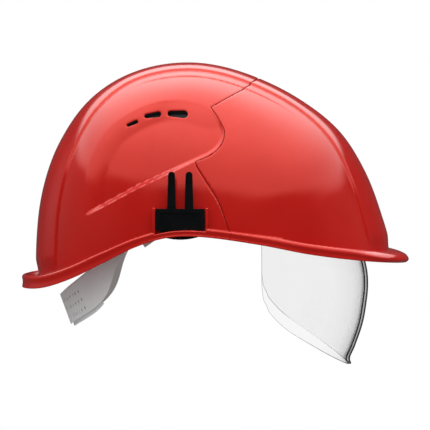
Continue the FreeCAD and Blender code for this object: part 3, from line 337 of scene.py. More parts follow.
# Brim profile beyond the wall: share along it, then distance in from the rim and height terms.
FILLET_SHARE, PLATE_SHARE = 0.2, 0.45
LIP_INSET = [(0.45, 2.9), (0.5, 2.5), (0.55, 2.2), (0.6, 1.7), (0.65, 0.9), (0.7, 0.3), (0.75, 0.0),
             (0.79, 0.45), (0.85, 0.5), (0.9, 0.1), (0.95, 0.25), (1.0, 0.9)]
LIP_HEIGHT = [(0.45, 0.0), (0.5, 0.2), (0.55, 0.75), (0.6, 1.0), (0.65, 1.0), (0.7, 0.8), (0.75, 0.3)]
EDGE_DROP = [(0.45, 0.0), (0.6, 0.0), (0.65, 0.08), (0.7, 0.35), (0.75, 1.0)]
BRIM_SHARES = [
    0.04, 0.08, 0.12, 0.16, 0.2, 0.26, 0.33, 0.4, 0.45, 0.475, 0.5, 0.525, 0.55, 0.575, 0.6, 0.625,
    0.65, 0.675, 0.7, 0.725, 0.75, 0.78, 0.84, 0.88, 0.9, 0.925, 0.95, 0.975, 1.0,
]
INNER_INSET = [(0.45, 2.9), (0.7, 2.1), (1.0, 1.6)]
# Where each stretch of the edge starts along the profile, and how much of it the stretch takes.
INNER_FALL, EDGE_FALL, EDGE_TURN = (0.7, 0.3), (0.75, 0.15), (0.9, 0.1)
PEAK_ROOT, EDGE_ROUND = 3.4, 0.7


def on_ray(azimuth, reach, height):
    return np.stack([
        DOME_CENTRE[0] + reach * np.cos(azimuth), reach * np.sin(azimuth), height,
    ], -1)


def bezier(a, b, c, t):
    return (1 - t) ** 2 * a + 2 * t * (1 - t) * b + t**2 * c


def notch(x):
    """1 where the accessory adapter's plate needs the brim lip flat."""
    half = ADAPTER_PLATE_WIDTH / 2 + NOTCH_MARGIN
    return smooth_step((half + NOTCH_RAMP - np.abs(x - ADAPTER_X)) / NOTCH_RAMP)


def brim_points(azimuth, share, start, is_inner):
    """Points of the brim: `share` runs from the wall's foot over the plate and lip to the lower edge."""
    rim = TABLES.at("rim", azimuth)
    corner = TABLES.at("inner_corner" if is_inner else "corner", azimuth)
    outer_corner = TABLES.at("corner", azimuth)
    root = outer_corner + np.minimum(TABLES.at("fillet", azimuth), FILLET_LIMIT * (rim - outer_corner))
    front = TABLES.at("front", azimuth)
    plate_end = rim - LIP_INSET[0][1]

    def top(reach):
        peak = PEAK_ROOT * front * (1 - part_way(reach, root, rim - root) ** 2)
        return rim_high(DOME_CENTRE[0] + reach * np.cos(azimuth)) + (-PLATE_WALL if is_inner else peak)

    t = part_way(share, 0, FILLET_SHARE)
    reach = bezier(plan_reach(start), corner, root, t)
    height = bezier(start[:, 2], top(corner), top(root), t)
    plate = root + (plate_end - root) * part_way(share, FILLET_SHARE, PLATE_SHARE - FILLET_SHARE)
    reach = np.where(share > FILLET_SHARE, plate, reach)
    height = np.where(share > FILLET_SHARE, top(plate), height)
    if is_inner:
        edge = rim - np.interp(share, *zip(*INNER_INSET))
        low = rim_low(DOME_CENTRE[0] + edge * np.cos(azimuth))
        fall = part_way(share, *INNER_FALL)
        edge_height = top(edge) * (1 - fall) + low * fall
    else:
        edge = rim - smooth_curve(LIP_INSET, share)
        x = DOME_CENTRE[0] + edge * np.cos(azimuth)
        lip = TABLES.at("lip", azimuth) * (1 - notch(x))
        low = rim_low(x)
        rise = lip * smooth_curve(LIP_HEIGHT, share) - EDGE_ROUND * smooth_curve(EDGE_DROP, share)
        edge_height = top(edge) + rise
        fall = part_way(share, *EDGE_FALL)
        edge_height = edge_height * (1 - fall) + (low + EDGE_ROUND) * fall
        last = part_way(share, *EDGE_TURN)
        edge_height = np.where(share > EDGE_TURN[0], low + EDGE_ROUND * (1 - last) ** 2, edge_height)
        around = part_way(share, PLATE_SHARE, 1 - PLATE_SHARE)
        round_edge = rim - LIP_INSET[0][1] * (1 - np.sin(math.pi * around))
        round_height = low + (top(round_edge) - low) * (0.5 + 0.5 * np.cos(math.pi * around))
        lipped = TABLES.at("lip", azimuth) / LIP_RISE
        edge = edge * lipped + round_edge * (1 - lipped)
        edge_height = edge_height * lipped + round_height * (1 - lipped)
    reach = np.where(share > PLATE_SHARE, edge, reach)
    height = np.where(share > PLATE_SHARE, edge_height, height)
    return on_ray(azimuth, reach, height)


def seam_line():
    curve = resampled(SEAM_CURVE + SEAM_HOOK + SEAM_SIDE)
    return [SEAM_CROWN] + curve + [SEAM_FOOT]


def lobe_outline(margin=0.0):
    lower = [(x, z - margin) for x, z in LOBE_LOWER]
    return lower + resampled(LOBE_UPPER)[1:-1]


SEAM = seam_line()
FRONT_ZONE = SEAM + [(300.0, SEAM_FOOT[1]), (300.0, SEAM_CROWN[1])]
LOBE = lobe_outline()
LOBE_CREASE = resampled(LOBE_UPPER[4:])
LOBE_FADE = 16.0
LOBE_LEDGE = 2.8
LOBE_DEEPEST, LOBE_SHALLOW, LOBE_REAR, LOBE_SPAN, LOBE_INNERMOST = 12.0, 2.2, -85.0, 80.0, 45.0
# Values of the vent, slot and notch fields away from the places where they apply.
VENT_FAR, SLOT_FAR, NOTCH_FAR = 50.0, 20.0, 60.0
VENT_INNERMOST, SLOT_RISE, NOTCH_RISE = 20.0, 1.0, 4.0
INNER_LOBE = lobe_outline(SHELL_WALL)


def seam_field(p):
    """Distance from the seam, positive on the front shell's side."""
    x, _, z = p.T
    away = line_distance(SEAM, x, z)
    return np.where(is_inside(FRONT_ZONE, x, z), away, -away)


def lobe_field(p):
    return signed_distance(LOBE, p[:, 0], p[:, 2])


def crest_field(p):
    """Distance beyond the edge of the raised crest, which widens towards brow and nape."""
    middle = (p[:, 0] - CREST_MIDDLE) / CREST_REACH
    widening = 1 + CREST_WIDENING * smooth_step((np.abs(middle) - CREST_WIDE_START) / CREST_WIDE_RAMP)
    return np.abs(p[:, 1]) - smooth_curve(CREST_EDGE, p[:, 0]) * widening


def fold_field(p):
    """Distance below the faint second crease that runs beside the crest."""
    return np.abs(p[:, 1]) - smooth_curve(FOLD_LINE, p[:, 0])


def heading(degrees):
    return math.cos(math.radians(degrees)), math.sin(math.radians(degrees))


def vent_field(p):
    """Distance outside the nearest vent slot, tapered towards its rear end."""
    best = np.full(len(p), np.inf)
    for x, z, length, height, slope in VENTS:
        along_x, along_z = heading(slope)
        dx, dz = p[:, 0] - x, p[:, 2] - z
        along = dx * along_x + dz * along_z
        across = -dx * along_z + dz * along_x
        half = (length - height) / 2
        radius = height / 2 * (1 - VENT_TAPER + VENT_TAPER * np.clip(along / half, -1, 1))
        beyond = np.maximum(np.abs(along) - half, 0)
        best = np.minimum(best, np.hypot(beyond, across) - radius)
    return np.where(np.abs(p[:, 1]) > VENT_INNERMOST, best, VENT_FAR)


def slot_field(p):
    """Distance outside the slots of the accessory adapters."""
    x, y, z = p.T
    middle = (SLOT_INNER + SLOT_OUTER) / 2
    beyond_x = np.abs(x - ADAPTER_X) - SLOT_LENGTH / 2
    beyond_y = np.abs(np.abs(y) - middle) - (SLOT_OUTER - SLOT_INNER) / 2
    on_brim = z < rim_high(x) + SLOT_RISE
    return np.where(on_brim, np.maximum(beyond_x, beyond_y), SLOT_FAR)


def notch_field(p):
    """Distance along the brim from the middle of the flat place in its lip."""
    x, _, z = p.T
    return np.where(z < rim_high(x) + NOTCH_RISE, np.abs(x - ADAPTER_X), NOTCH_FAR)


def dome_place(plan):
    """Radius, plan direction and elevation of flat disc points; radius 1 is the wall's foot."""
    radius, azimuth = polar(plan)
    wall = TABLES.at("wall", azimuth)
    return radius, azimuth, math.pi / 2 - np.minimum(radius, 1) * (math.pi / 2 - wall)


def plain_points(plan):
    """Outer surface without its features, from the flat disc."""
    radius, azimuth, elevation = dome_place(plan)
    points = dome(azimuth, elevation, *OUTER_SKIN)
    on_brim = radius > 1
    points[on_brim] = brim_points(azimuth[on_brim], radius[on_brim] - 1, points[on_brim], False)
    return points


def sink_lobe(points, outline, inset, half_width):
    """Moves the skin inside a lobe outline in to the sunk copy of the dome, softly at its upper edge.

    The lobe is shallower towards the front."""
    x, z = points[:, 0], points[:, 2]
    depth = signed_distance(outline, x, z)
    sunk = skin_half_width(x - LOBE_SHIFT_X, z - LOBE_SHIFT_Z, inset, half_width) - LOBE_SINK
    now = np.abs(points[:, 1])
    fade = np.clip(line_distance(LOBE_CREASE, x, z) / LOBE_FADE, 0, 1)
    share = np.where(now > LOBE_INNERMOST, smooth_step(-depth / LOBE_LEDGE) * fade, 0)
    shallow = smooth_step((x - LOBE_REAR) / LOBE_SPAN)
    deepest = LOBE_DEEPEST + (LOBE_SHALLOW - LOBE_DEEPEST) * shallow
    target = np.minimum(now, np.maximum(np.maximum(sunk, now - deepest), 0))
    points[:, 1] = np.sign(points[:, 1]) * (now * (1 - share) + target * share)


def shell_points(plan):
    """Outer and inner surface of both shells, with crest, lobes and rounded edges."""
    radius, azimuth, elevation = dome_place(plan)
    plain = plain_points(plan)
    above_foot = smooth_step((1 - radius) / WALL_FOOT_BLEND)
    on_crest = smooth_step((CREST_RAMP - crest_field(plain)) / CREST_RAMP) * above_foot
    ends = [smooth_step((FOLD_END + side * plain[:, 0]) / FOLD_END_RAMP) for side in (1, -1)]
    fade = ends[0] * ends[1]
    fold = FOLD_DEPTH * smooth_step((fold_field(plain) + FOLD_RAMP) / FOLD_RAMP) * fade * above_foot
    fold = fold * smooth_step((FOLD_FADE - fold_field(plain)) / FOLD_FADE)
    outer = dome(
        azimuth, elevation, CREST_RISE * (1 - on_crest) + fold, SHELL_HALF_WIDTH + CREST_RISE * on_crest)
    inner = dome(azimuth, elevation, *INNER_SKIN)
    sink_lobe(outer, LOBE, *OUTER_SKIN)
    sink_lobe(inner, INNER_LOBE, *INNER_SKIN)
    on_brim = radius > 1
    share = radius[on_brim] - 1
    outer[on_brim] = brim_points(azimuth[on_brim], share, outer[on_brim], False)
    inner[on_brim] = brim_points(azimuth[on_brim], share, inner[on_brim], True)
    edge = np.minimum(np.abs(seam_field(plain)) - SEAM_GAP / 2, vent_field(plain))
    rounding = EDGE_SOFTNESS * np.clip(1 - edge / EDGE_SOFT_WIDTH, 0, 1) ** 2
    inward = DOME_CENTRE - outer
    outer += inward / np.linalg.norm(inward, axis=1)[:, None] * rounding[:, None]
    return outer, inner


# ---- mesh helpers ----


def disc_grid(levels, turns):
    """Flat polar grid with a point in the middle and a ring at each level."""
    bm = bmesh.new()
    middle = bm.verts.new((0, 0, 0))
    rings = []
    for level in levels:
        angles = np.linspace(-math.pi, math.pi, turns, endpoint=False)
        rings.append([bm.verts.new((level * math.cos(a), level * math.sin(a), 0)) for a in angles])
    for j in range(turns):
        k = (j + 1) % turns
        bm.faces.new((middle, rings[0][j], rings[0][k]))
        for low, high in zip(rings[:-1], rings[1:]):
            bm.faces.new((low[j], high[j], high[k], low[k]))
    return bm


def flat_coords(bm):
    return np.array([v.co[:] for v in bm.verts], float)[:, :2]


def cut_along(bm, field, levels):
    """Adds an edge loop wherever `field`, a function of the flat coordinates, equals a level."""
    for level in levels:
        plan = flat_coords(bm)
        values = field(plan) - level
        for vert, value, (u, v) in zip(bm.verts, values.tolist(), plan.tolist()):
            vert.co = (value, u, v)
        near = [f for f in bm.faces if min(v.co.x for v in f.verts) < 0 < max(v.co.x for v in f.verts)]
        geometry = set(near)
        for face in near:
            geometry.update(face.edges)
            geometry.update(face.verts)
        if near:
            bmesh.ops.bisect_plane(
                bm, geom=list(geometry), dist=1e-5, plane_co=(0, 0, 0), plane_no=(1, 0, 0))
        for vert in bm.verts:
            vert.co = (vert.co.y, vert.co.z, 0)


def faces_of(bm):
    bm.verts.index_update()
    return [[v.index for v in f.verts] for f in bm.faces]


def released(bm):
    """Flat coordinates and faces of a grid that is then given up."""
    plan, faces = flat_coords(bm), faces_of(bm)
    bm.free()
    return plan, faces


def face_means(faces, values):
    return np.array([values[f].mean(axis=0) for f in faces])


def new_object(name, points, faces):
    """Mesh object from points in millimetres."""
    mesh = bpy.data.meshes.new(name)
    mesh.from_pydata((np.asarray(points) * MM).tolist(), [], faces)
    mesh.validate()
    mesh.update()
    obj = bpy.data.objects.new(name, mesh)
    bpy.context.scene.collection.objects.link(obj)
    return obj


def shade(obj, degrees=35.0):
    obj.data.shade_smooth()
    obj.data.set_sharp_from_angle(angle=math.radians(degrees))
    return obj


def thick_object(name, faces, outer, inner, dark=None):
    """Closed wall between an outer and an inner surface that share their faces.

    Edge faces whose points are marked in `dark` get the object's second material."""
    used = np.unique(np.concatenate([np.array(f) for f in faces]))
    place = {old: new for new, old in enumerate(used.tolist())}
    count = len(used)
    front = [[place[i] for i in f] for f in faces]
    back = [[i + count for i in reversed(f)] for f in front]
    edges = {}
    for face in front:
        for a, b in zip(face, face[1:] + face[:1]):
            edges[(a, b)] = True
    walls = [[b, a, a + count, b + count] for a, b in edges if (b, a) not in edges]
    points = np.concatenate([outer[used], inner[used]])
    obj = shade(new_object(name, points, front + back + walls))
    if dark is not None:
        marked = dark[used]
        for face, polygon in zip(walls, list(obj.data.polygons)[-len(walls):]):
            polygon.material_index = int(marked[face[0]] and marked[face[1]])
    return obj


# ---- shells ----


def make_shells():
    rings, turns = 101, 420
    levels = list(np.linspace(0, 1, rings)[1:]) + [1 + share for share in BRIM_SHARES]
    bm = disc_grid(levels, turns)
    half_gap, half_brim_gap = SEAM_GAP / 2, BRIM_SEAM_GAP / 2
    notch_edge = ADAPTER_PLATE_WIDTH / 2 + NOTCH_MARGIN
    # loops on both sides of each edge keep the shading beside it clean
    fields = (
        (crest_field, (-0.6, 0.0, CREST_RAMP / 2, CREST_RAMP, CREST_RAMP + 0.8)),
        (fold_field, (-1.8, -FOLD_RAMP, 0.0, 0.6)),
        (lobe_field, (-3.6, -LOBE_LEDGE, -LOBE_LEDGE / 2, 0.0, 0.5)),
        (seam_field, (-0.9, -half_gap, -half_brim_gap, half_brim_gap, half_gap, 0.9)),
        (vent_field, (0.0, 0.5)),
        (slot_field, (0.0,)),
        (notch_field, (notch_edge, notch_edge + NOTCH_RAMP)),
    )
    for field, steps in fields:
        cut_along(bm, lambda plan, f=field: f(plain_points(plan)), steps)
    plan, faces = released(bm)
    outer, inner = shell_points(plan)
    plain = plain_points(plan)
    seam, vent = face_means(faces, seam_field(plain)), face_means(faces, vent_field(plain))
    slot = face_means(faces, slot_field(plain))
    kept = (vent > 0) & (slot > 0)
    on_brim = face_means(faces, polar(plan)[0]) > 1
    gaps = np.where(on_brim, half_brim_gap, half_gap)
    rear = [f for f, s, k, gap in zip(faces, seam, kept, gaps) if k and s < -gap]
    front = [f for f, s, k, gap in zip(faces, seam, kept, gaps) if k and s > gap]
    # vent walls near the slot outline get the black second material: painted shade inside the vents
    dark = vent_field(plain) < VENT_EDGE
    rear_shell = thick_object("shell_rear", rear, outer, inner, dark)
    return rear_shell, thick_object("shell_front", front, outer, inner)


def base_points(plan, foot, inset, half_width):
    """Inner dome from the flat disc, whose rim is the dome's foot."""
    radius, azimuth = polar(plan)
    elevation = math.pi / 2 - radius * (math.pi / 2 - np.interp(azimuth, TABLES.azimuth, foot))
    return dome(azimuth, elevation, inset, half_width)


def make_base_dome():
    """Inner dome of the main shell, which stands only behind the front shell.

    Also returns how many of its faces, the first ones, are the outer side."""
    rings, turns = 56, 200
    foot = elevation_at(
        TABLES.azimuth, lambda x: rim_low(x) + BASE_FOOT_RISE, base_gap, BASE_HALF_WIDTH)
    bm = disc_grid(list(np.linspace(0, 1, rings)[1:]), turns)

    def behind_seam(plan):
        return seam_field(base_points(plan, foot, base_gap, BASE_HALF_WIDTH))

    cut_along(bm, behind_seam, (-SEAM_WEB,))
    plan, faces = released(bm)
    kept = face_means(faces, behind_seam(plan)) > -SEAM_WEB
    faces = [face for face, keep in zip(faces, kept) if keep]
    outer = base_points(plan, foot, base_gap, BASE_HALF_WIDTH)
    inner = base_points(plan, foot, lambda a: base_gap(a) + SHELL_WALL, BASE_HALF_WIDTH - SHELL_WALL)
    return thick_object("base_dome", faces, outer, inner), len(faces)


def evenly_spaced(outline, count):
    line, length = np.array(outline), lengths_along(outline)
    even = np.linspace(0, length[-1], count)
    return np.stack([np.interp(even, length, line[:, k]) for k in (0, 1)], -1)


def towards_front(line):
    """Unit directions square to the seam, on the front shell's side."""
    along = np.gradient(line, axis=0)
    ahead = np.stack([along[:, 1], -along[:, 0]], -1) / np.hypot(along[:, 0], along[:, 1])[:, None]
    middle = line[len(line) // 2] + ahead[len(line) // 2]
    return ahead if is_inside(FRONT_ZONE, middle[:1], middle[1:])[0] else -ahead


def web_edge(place):
    """Foot and head of the seam web at side-view places, and the shell's |Y| there."""
    x, z = place[:, 0], place[:, 1]
    half_wall = SHELL_WALL / 2
    low = skin_half_width(x, z, lambda a: base_gap(a) + half_wall, BASE_HALF_WIDTH - half_wall)
    skin = skin_half_width(x, z, *INNER_SKIN)
    high = np.stack([x, skin, z], -1)
    sink_lobe(high, INNER_LOBE, *INNER_SKIN)
    high[:, 1] += SHELL_WALL / 4
    return np.stack([x, low, z], -1), high, skin


def make_seam_web():
    """Wall along the seam that joins the rear shell to the inner dome."""
    steps, clearance, least_height = 140, 1.0, 0.5
    line = evenly_spaced(SEAM, steps)
    ahead = towards_front(line)
    near_low, near_high, near_skin = web_edge(line - ahead * (SEAM_GAP / 2))
    far_low, far_high, far_skin = web_edge(line - ahead * SEAM_WEB)
    used = (np.minimum(near_skin, far_skin) > clearance) & (line[:, 1] > rim_low(line[:, 0]) + clearance)
    for low, high in ((near_low, near_high), (far_low, far_high)):
        used &= high[:, 1] > low[:, 1] + least_height
    rings = np.stack([near_low, near_high, far_high, far_low], 1)[used]
    faces = tube_faces(len(rings), rings.shape[1])
    return joined("seam_web", [((rings * [1, side, 1]).reshape(-1, 3), faces) for side in (1, -1)])


def make_vent_shade_sheets():
    """Thin dark sheets behind the vent slots, following the inner face of the shell: painted shade for the
    vents' dark inside.
    """
    columns, rows = 48, 9
    along = np.linspace(VENTS[0][0] - SHADE_SHEET_MARGIN, VENTS[-1][0] + SHADE_SHEET_MARGIN, columns)
    across = np.linspace(-SHADE_SHEET_HALF_HEIGHT, SHADE_SHEET_HALF_HEIGHT, rows)
    x, shift = (grid.ravel() for grid in np.meshgrid(along, across, indexing="ij"))
    z = np.interp(x, [vent[0] for vent in VENTS], [vent[1] for vent in VENTS]) - SHADE_SHEET_DROP + shift
    layers = []
    for depth in (SHADE_SHEET_GAP, SHADE_SHEET_GAP + SHADE_SHEET_WALL):
        skin = INNER_SKIN[0] + depth, INNER_SKIN[1] - depth
        layer = np.stack([x, skin_half_width(x, z, *skin), z], -1)
        sink_lobe(layer, INNER_LOBE, *skin)
        layers.append(np.concatenate([layer, layer * [1, -1, 1]]))
    faces = []
    for i in range(columns - 1):
        for j in range(rows - 1):
            a, b = i * rows + j, (i + 1) * rows + j
            quad = [a, a + 1, b + 1, b]
            faces.append(quad)
            faces.append([k + columns * rows for k in reversed(quad)])
    return thick_object("vent_shade_sheets", faces, *layers)


# ---- visor ----


def lens_points(plan, inset):
    """Lens surface from (turn, height) places, `inset` from the outer face."""
    turn, height = plan[:, 0], plan[:, 1]
    reach = smooth_curve(LENS_OUTLINE, height)
    below = np.maximum(LENS_TAPER_START - height, 0) / LENS_TAPER_SPAN
    half = LENS_HALF_WIDTH - LENS_TAPER * below**2
    return np.stack([
        LENS_CENTRE_X + (reach - LENS_CENTRE_X - inset) * np.cos(turn),
        (half - inset) * np.sin(turn),
        height,
    ], -1)


def rounded_outline(points, radii, steps=6):
    """Closed outline with the corners of given radius rounded."""
    result = []
    count = len(points)
    for i, (x, z) in enumerate(points):
        radius = radii.get(i, 0)
        if not radius:
            result.append((x, z))
            continue
        here = np.array((x, z), float)
        before, after = np.array(points[i - 1], float), np.array(points[(i + 1) % count], float)
        a = here + (before - here) / np.linalg.norm(before - here) * radius
        b = here + (after - here) / np.linalg.norm(after - here) * radius
        result += [tuple(bezier(a, here, b, t)) for t in np.linspace(0, 1, steps)]
    return result


def make_lens():
    columns, rows = 181, 110
    trim = rounded_outline(LENS_TRIM, LENS_CORNERS)
    turns = np.linspace(-math.pi / 2, math.pi / 2, columns)
    heights = np.linspace(LENS_LOW, LENS_HIGH, rows)
    bm = bmesh.new()
    grid = [[bm.verts.new((t, h, 0)) for t in turns] for h in heights]
    for low, high in zip(grid[:-1], grid[1:]):
        for j in range(len(turns) - 1):
            bm.faces.new((low[j], low[j + 1], high[j + 1], high[j]))

    def field(plan):
        p = lens_points(plan, 0.0)
        return signed_distance(trim, p[:, 0], p[:, 2])

    cut_along(bm, field, (0.0, -LENS_EDGE))
    plan, faces = released(bm)
    edge = field(plan)
    faces = [face for face, mean in zip(faces, face_means(faces, edge)) if mean < 0]
    low = plan[:, 1] - heights[0]
    rounding = LENS_SOFTNESS * np.clip(1 - np.minimum(-edge, low) / LENS_EDGE, 0, 1) ** 2
    outer = lens_points(plan, 0.0)
    inner = lens_points(plan, LENS_WALL)
    shift = (inner - outer) / LENS_WALL * rounding[:, None]
    dark = np.ones(len(plan), bool)
    return thick_object("visor_pane", faces, outer + shift, inner - shift, dark)


# ---- harness and small parts ----

HARNESS_X, BAND_X, BAND_LENGTH, BAND_WIDTH, BAND_WALL = -27.0, -20.0, 100.0, 75.0, 2.0
WEBBING_WIDTH, WEBBING_WALL, WEBBING_STANDOFF = 19.0, 1.2, 2.4
WEBBING_CROWN, WEBBING_LAYER, WEBBING_SPRING, WEBBING_END = 95.0, 2.8, 40.0, 16.0
WEBBING_ANGLES = {"webbing_side": 90.0, "webbing_front_left": 22.0, "webbing_front_right": -22.0}
# Half of the strap's section: share of the half width, then thickness with the thicker selvedge.
WEBBING_SECTION = [(0, 0.7), (0.4, 0.7), (0.82, 0.72), (0.9, 1.0), (0.97, 0.8), (1, 0.35)]
STITCH_ROWS, STITCH_REACH, STITCH_PITCH = (3.0, 9.0, 15.0), 6.5, 2.6
STITCH_LENGTH, STITCH_THREAD, STITCH_BURY = 2.08, 0.22, 0.15
SWEATBAND_WALL, SWEATBAND_GAP, SWEATBAND_LOW, SWEATBAND_HIGH, SWEATBAND_REAR = 4.0, 0.3, -1.0, 31.0, 10.0
SWEATBAND_END, SWEATBAND_RIM_GAP, SWEATBAND_HEM, SWEATBAND_SEWN = 1.5, 2.0, 0.6, 0.93
PAD_RADIUS, PAD_CURVE, PAD_DEPTH, PAD_SINK, PAD_HEM = 32.0, 66.0, 6.0, 0.5, 1.2
PAD_SPOKES, PAD_RIM_SEWN, PAD_HUB_SEWN = 6, 0.94, 0.16
SWEATBAND_START, PAD_START, SWELL_MARGIN = 0.9, 1.3, 0.15
CLOTH_FRAMES, CLOTH_POINT_MASS, CLOTH_STIFFNESS, CLOTH_PRESSURE = 20, 0.3, 1.0, 2000.0
RIB_WALL, RIB_GAP, RIB_LOW, RIB_HIGH, RIB_INNER, RIB_OUTER, RIB_BEVEL = 2.0, 0.5, 6.0, 26.0, 98.0, 109.2, 0.6


def band_reach(degrees):
    """Distance from the webbing's centre to the headband's outer face in one direction."""
    east, north = heading(degrees)
    shift = HARNESS_X - BAND_X
    square = (east / BAND_LENGTH) ** 2 + (north / BAND_WIDTH) ** 2
    linear = shift * east / BAND_LENGTH**2
    constant = (shift / BAND_LENGTH) ** 2 - 1
    return (math.sqrt(linear**2 - square * constant) - linear) / square


def stitch(start, end, up, radius, rings=5, sides=6):
    """Points and faces of a thread that dives into the cloth at both ends."""
    rise, sink, thin = 1.2, 0.7, 0.55
    along = end - start
    side = np.cross(along, up)
    side /= np.linalg.norm(side)
    points = []
    for i in range(rings):
        t = i / (rings - 1)
        lift = radius * rise * math.sin(math.pi * t) - radius * sink
        size = radius * (thin + (1 - thin) * math.sin(math.pi * t))
        for j in range(sides):
            turn = 2 * math.pi * j / sides
            out = up * (lift + size * math.sin(turn)) + side * size * math.cos(turn)
            points.append(start + along * t + out)
    return points, tube_faces(rings, sides)


def ring_faces(rows, ring):
    """Quads between each closed ring of points and the next."""
    faces = []
    for i in range(rows - 1):
        for j in range(ring):
            k = (j + 1) % ring
            faces.append([i * ring + j, i * ring + k, (i + 1) * ring + k, (i + 1) * ring + j])
    return faces


def tube_faces(rows, ring):
    """The same with a flat cap at both ends."""
    caps = [list(range(ring)), [(rows - 1) * ring + j for j in reversed(range(ring))]]
    return ring_faces(rows, ring) + caps


def joined(name, parts):
    """One object from several (points, faces) parts."""
    points, faces = [], []
    for part_points, part_faces in parts:
        offset = len(points)
        points += [tuple(p) for p in part_points]
        faces += [[i + offset for i in face] for face in part_faces]
    obj = new_object(name, points, faces)
    bm = bmesh.new()
    bm.from_mesh(obj.data)
    bmesh.ops.recalc_face_normals(bm, faces=bm.faces)
    bm.to_mesh(obj.data)
    bm.free()
    return shade(obj)


def webbing_path(reach, crown, offset):
    """Side outline of a strap as (distance, height) pairs, `offset` out from its inner face."""
    arch_steps, leg_steps = 97, 11
    rise = crown - WEBBING_SPRING + offset
    arch = [
        ((reach + offset) * math.cos(a), WEBBING_SPRING + rise * math.sin(a))
        for a in np.linspace(0, math.pi, arch_steps)
    ]
    right = [(reach + offset, z) for z in np.linspace(WEBBING_END, WEBBING_SPRING, leg_steps)[:-1]]
    return right + arch + [(-x, z) for x, z in reversed(right)]


def strap_body(place, reach, crown):
    """Points and faces of a woven strap along its path."""
    section = [(-share, wall) for share, wall in reversed(WEBBING_SECTION[1:])] + WEBBING_SECTION
    across, thick = np.array(section).T
    across, thick = WEBBING_WIDTH / 2 * across, thick * WEBBING_WALL / 2
    inner, outer = (webbing_path(reach, crown, offset) for offset in (0, WEBBING_WALL))
    points = []
    for (xi, zi), (xo, zo) in zip(inner, outer):
        middle_x, middle_z = (xi + xo) / 2, (zi + zo) / 2
        ux, uz = (xo - xi) / WEBBING_WALL, (zo - zi) / WEBBING_WALL
        for sign in (1, -1):
            for y, half in zip(across[::sign], thick):
                points.append(place(middle_x + sign * ux * half, y, middle_z + sign * uz * half))
    return points, tube_faces(len(inner), 2 * len(across))


def strap_stitches(place, reach, out):
    """Rows of stitches on both faces at each end of a strap; `out` is its direction in plan."""
    depths = ((WEBBING_WALL * (1 - STITCH_BURY), 1), (WEBBING_WALL * STITCH_BURY, -1))
    parts = []
    for end in (1, -1):
        for height in (WEBBING_END + row for row in STITCH_ROWS):
            for y in np.arange(-STITCH_REACH, STITCH_REACH, STITCH_PITCH):
                for face, side in depths:
                    start = np.array(place(end * (reach + face), y, height))
                    finish = np.array(place(end * (reach + face), y + STITCH_LENGTH, height))
                    parts.append(stitch(start, finish, out * end * side, STITCH_THREAD))
    return parts


def make_webbing(name, degrees, layer):
    """Woven strap with three rows of stitches at each end."""
    ahead, behind = band_reach(degrees), band_reach(degrees + 180)
    reach = (ahead + behind) / 2 + WEBBING_STANDOFF
    shift = (ahead - behind) / 2
    east, north = heading(degrees)

    def place(distance, across, height):
        x = distance + shift
        return HARNESS_X + x * east - across * north, x * north + across * east, height

    body = strap_body(place, reach, WEBBING_CROWN + layer * WEBBING_LAYER)
    return joined(name, [body] + strap_stitches(place, reach, np.array((east, north, 0))))


def puff(obj, limit, sewn):
    """Inflates a thin closed cushion by cloth simulation, held at its sewn points.

    `sewn` tells for each point if it is held; no point moves further than `limit` millimetres."""
    scene = bpy.context.scene
    group = obj.vertex_groups.new(name="sewn")
    for index in np.flatnonzero(sewn).tolist():
        group.add([index], 1.0, "REPLACE")
    cloth = obj.modifiers.new("swell", "CLOTH")
    cloth.settings.use_pressure = True
    cloth.settings.uniform_pressure_force = CLOTH_PRESSURE
    cloth.settings.effector_weights.gravity = 0
    cloth.settings.vertex_group_mass = group.name
    cloth.settings.mass = CLOTH_POINT_MASS
    cloth.settings.tension_stiffness = cloth.settings.compression_stiffness = CLOTH_STIFFNESS
    cloth.collision_settings.use_collision = False
    cloth.point_cache.frame_start, cloth.point_cache.frame_end = 1, CLOTH_FRAMES
    for frame in range(1, CLOTH_FRAMES + 1):
        scene.frame_set(frame)
    graph = bpy.context.evaluated_depsgraph_get()
    swollen = np.array([v.co[:] for v in obj.evaluated_get(graph).data.vertices])
    rest = np.array([v.co[:] for v in obj.data.vertices])
    move = swollen - rest
    far = np.linalg.norm(move, axis=1)
    move *= (np.minimum(far, limit * MM) / np.maximum(far, 1e-9))[:, None]
    obj.modifiers.remove(cloth)
    obj.vertex_groups.clear()
    obj.data.vertices.foreach_set("co", (rest + move).astype(np.float32).ravel())
    obj.data.update()
    scene.frame_set(1)


def cushion(name, grid, sewn, limit):
    """Soft pad from rings of cross-section points, inflated by at most `limit` millimetres.

    The two points that close its ends are sewn like the seams."""
    rows, ring = len(grid), len(grid[0])
    points = [tuple(p) for row in grid for p in row]
    faces = ring_faces(rows, ring)
    for row in (0, rows - 1):
        middle = len(points)
        points.append(tuple(np.mean(grid[row], axis=0)))
        for j in range(ring):
            a, b = row * ring + j, row * ring + (j + 1) % ring
            faces.append([middle, b, a] if row == 0 else [middle, a, b])
    obj = joined(name, [(points, faces)])
    puff(obj, limit, sewn + [True, True])
    smooth = obj.modifiers.new("smooth", "SUBSURF")
    smooth.levels = smooth.render_levels = 1
    return obj


def band_place(turn, inset):
    """Point at parameter `turn` of the headband's oval, moved in by `inset`."""
    return np.array((
        BAND_X + (BAND_LENGTH - inset) * math.cos(turn), (BAND_WIDTH - inset) * math.sin(turn),
    ))


def signed_power(value, power):
    return math.copysign(abs(value) ** power, value)


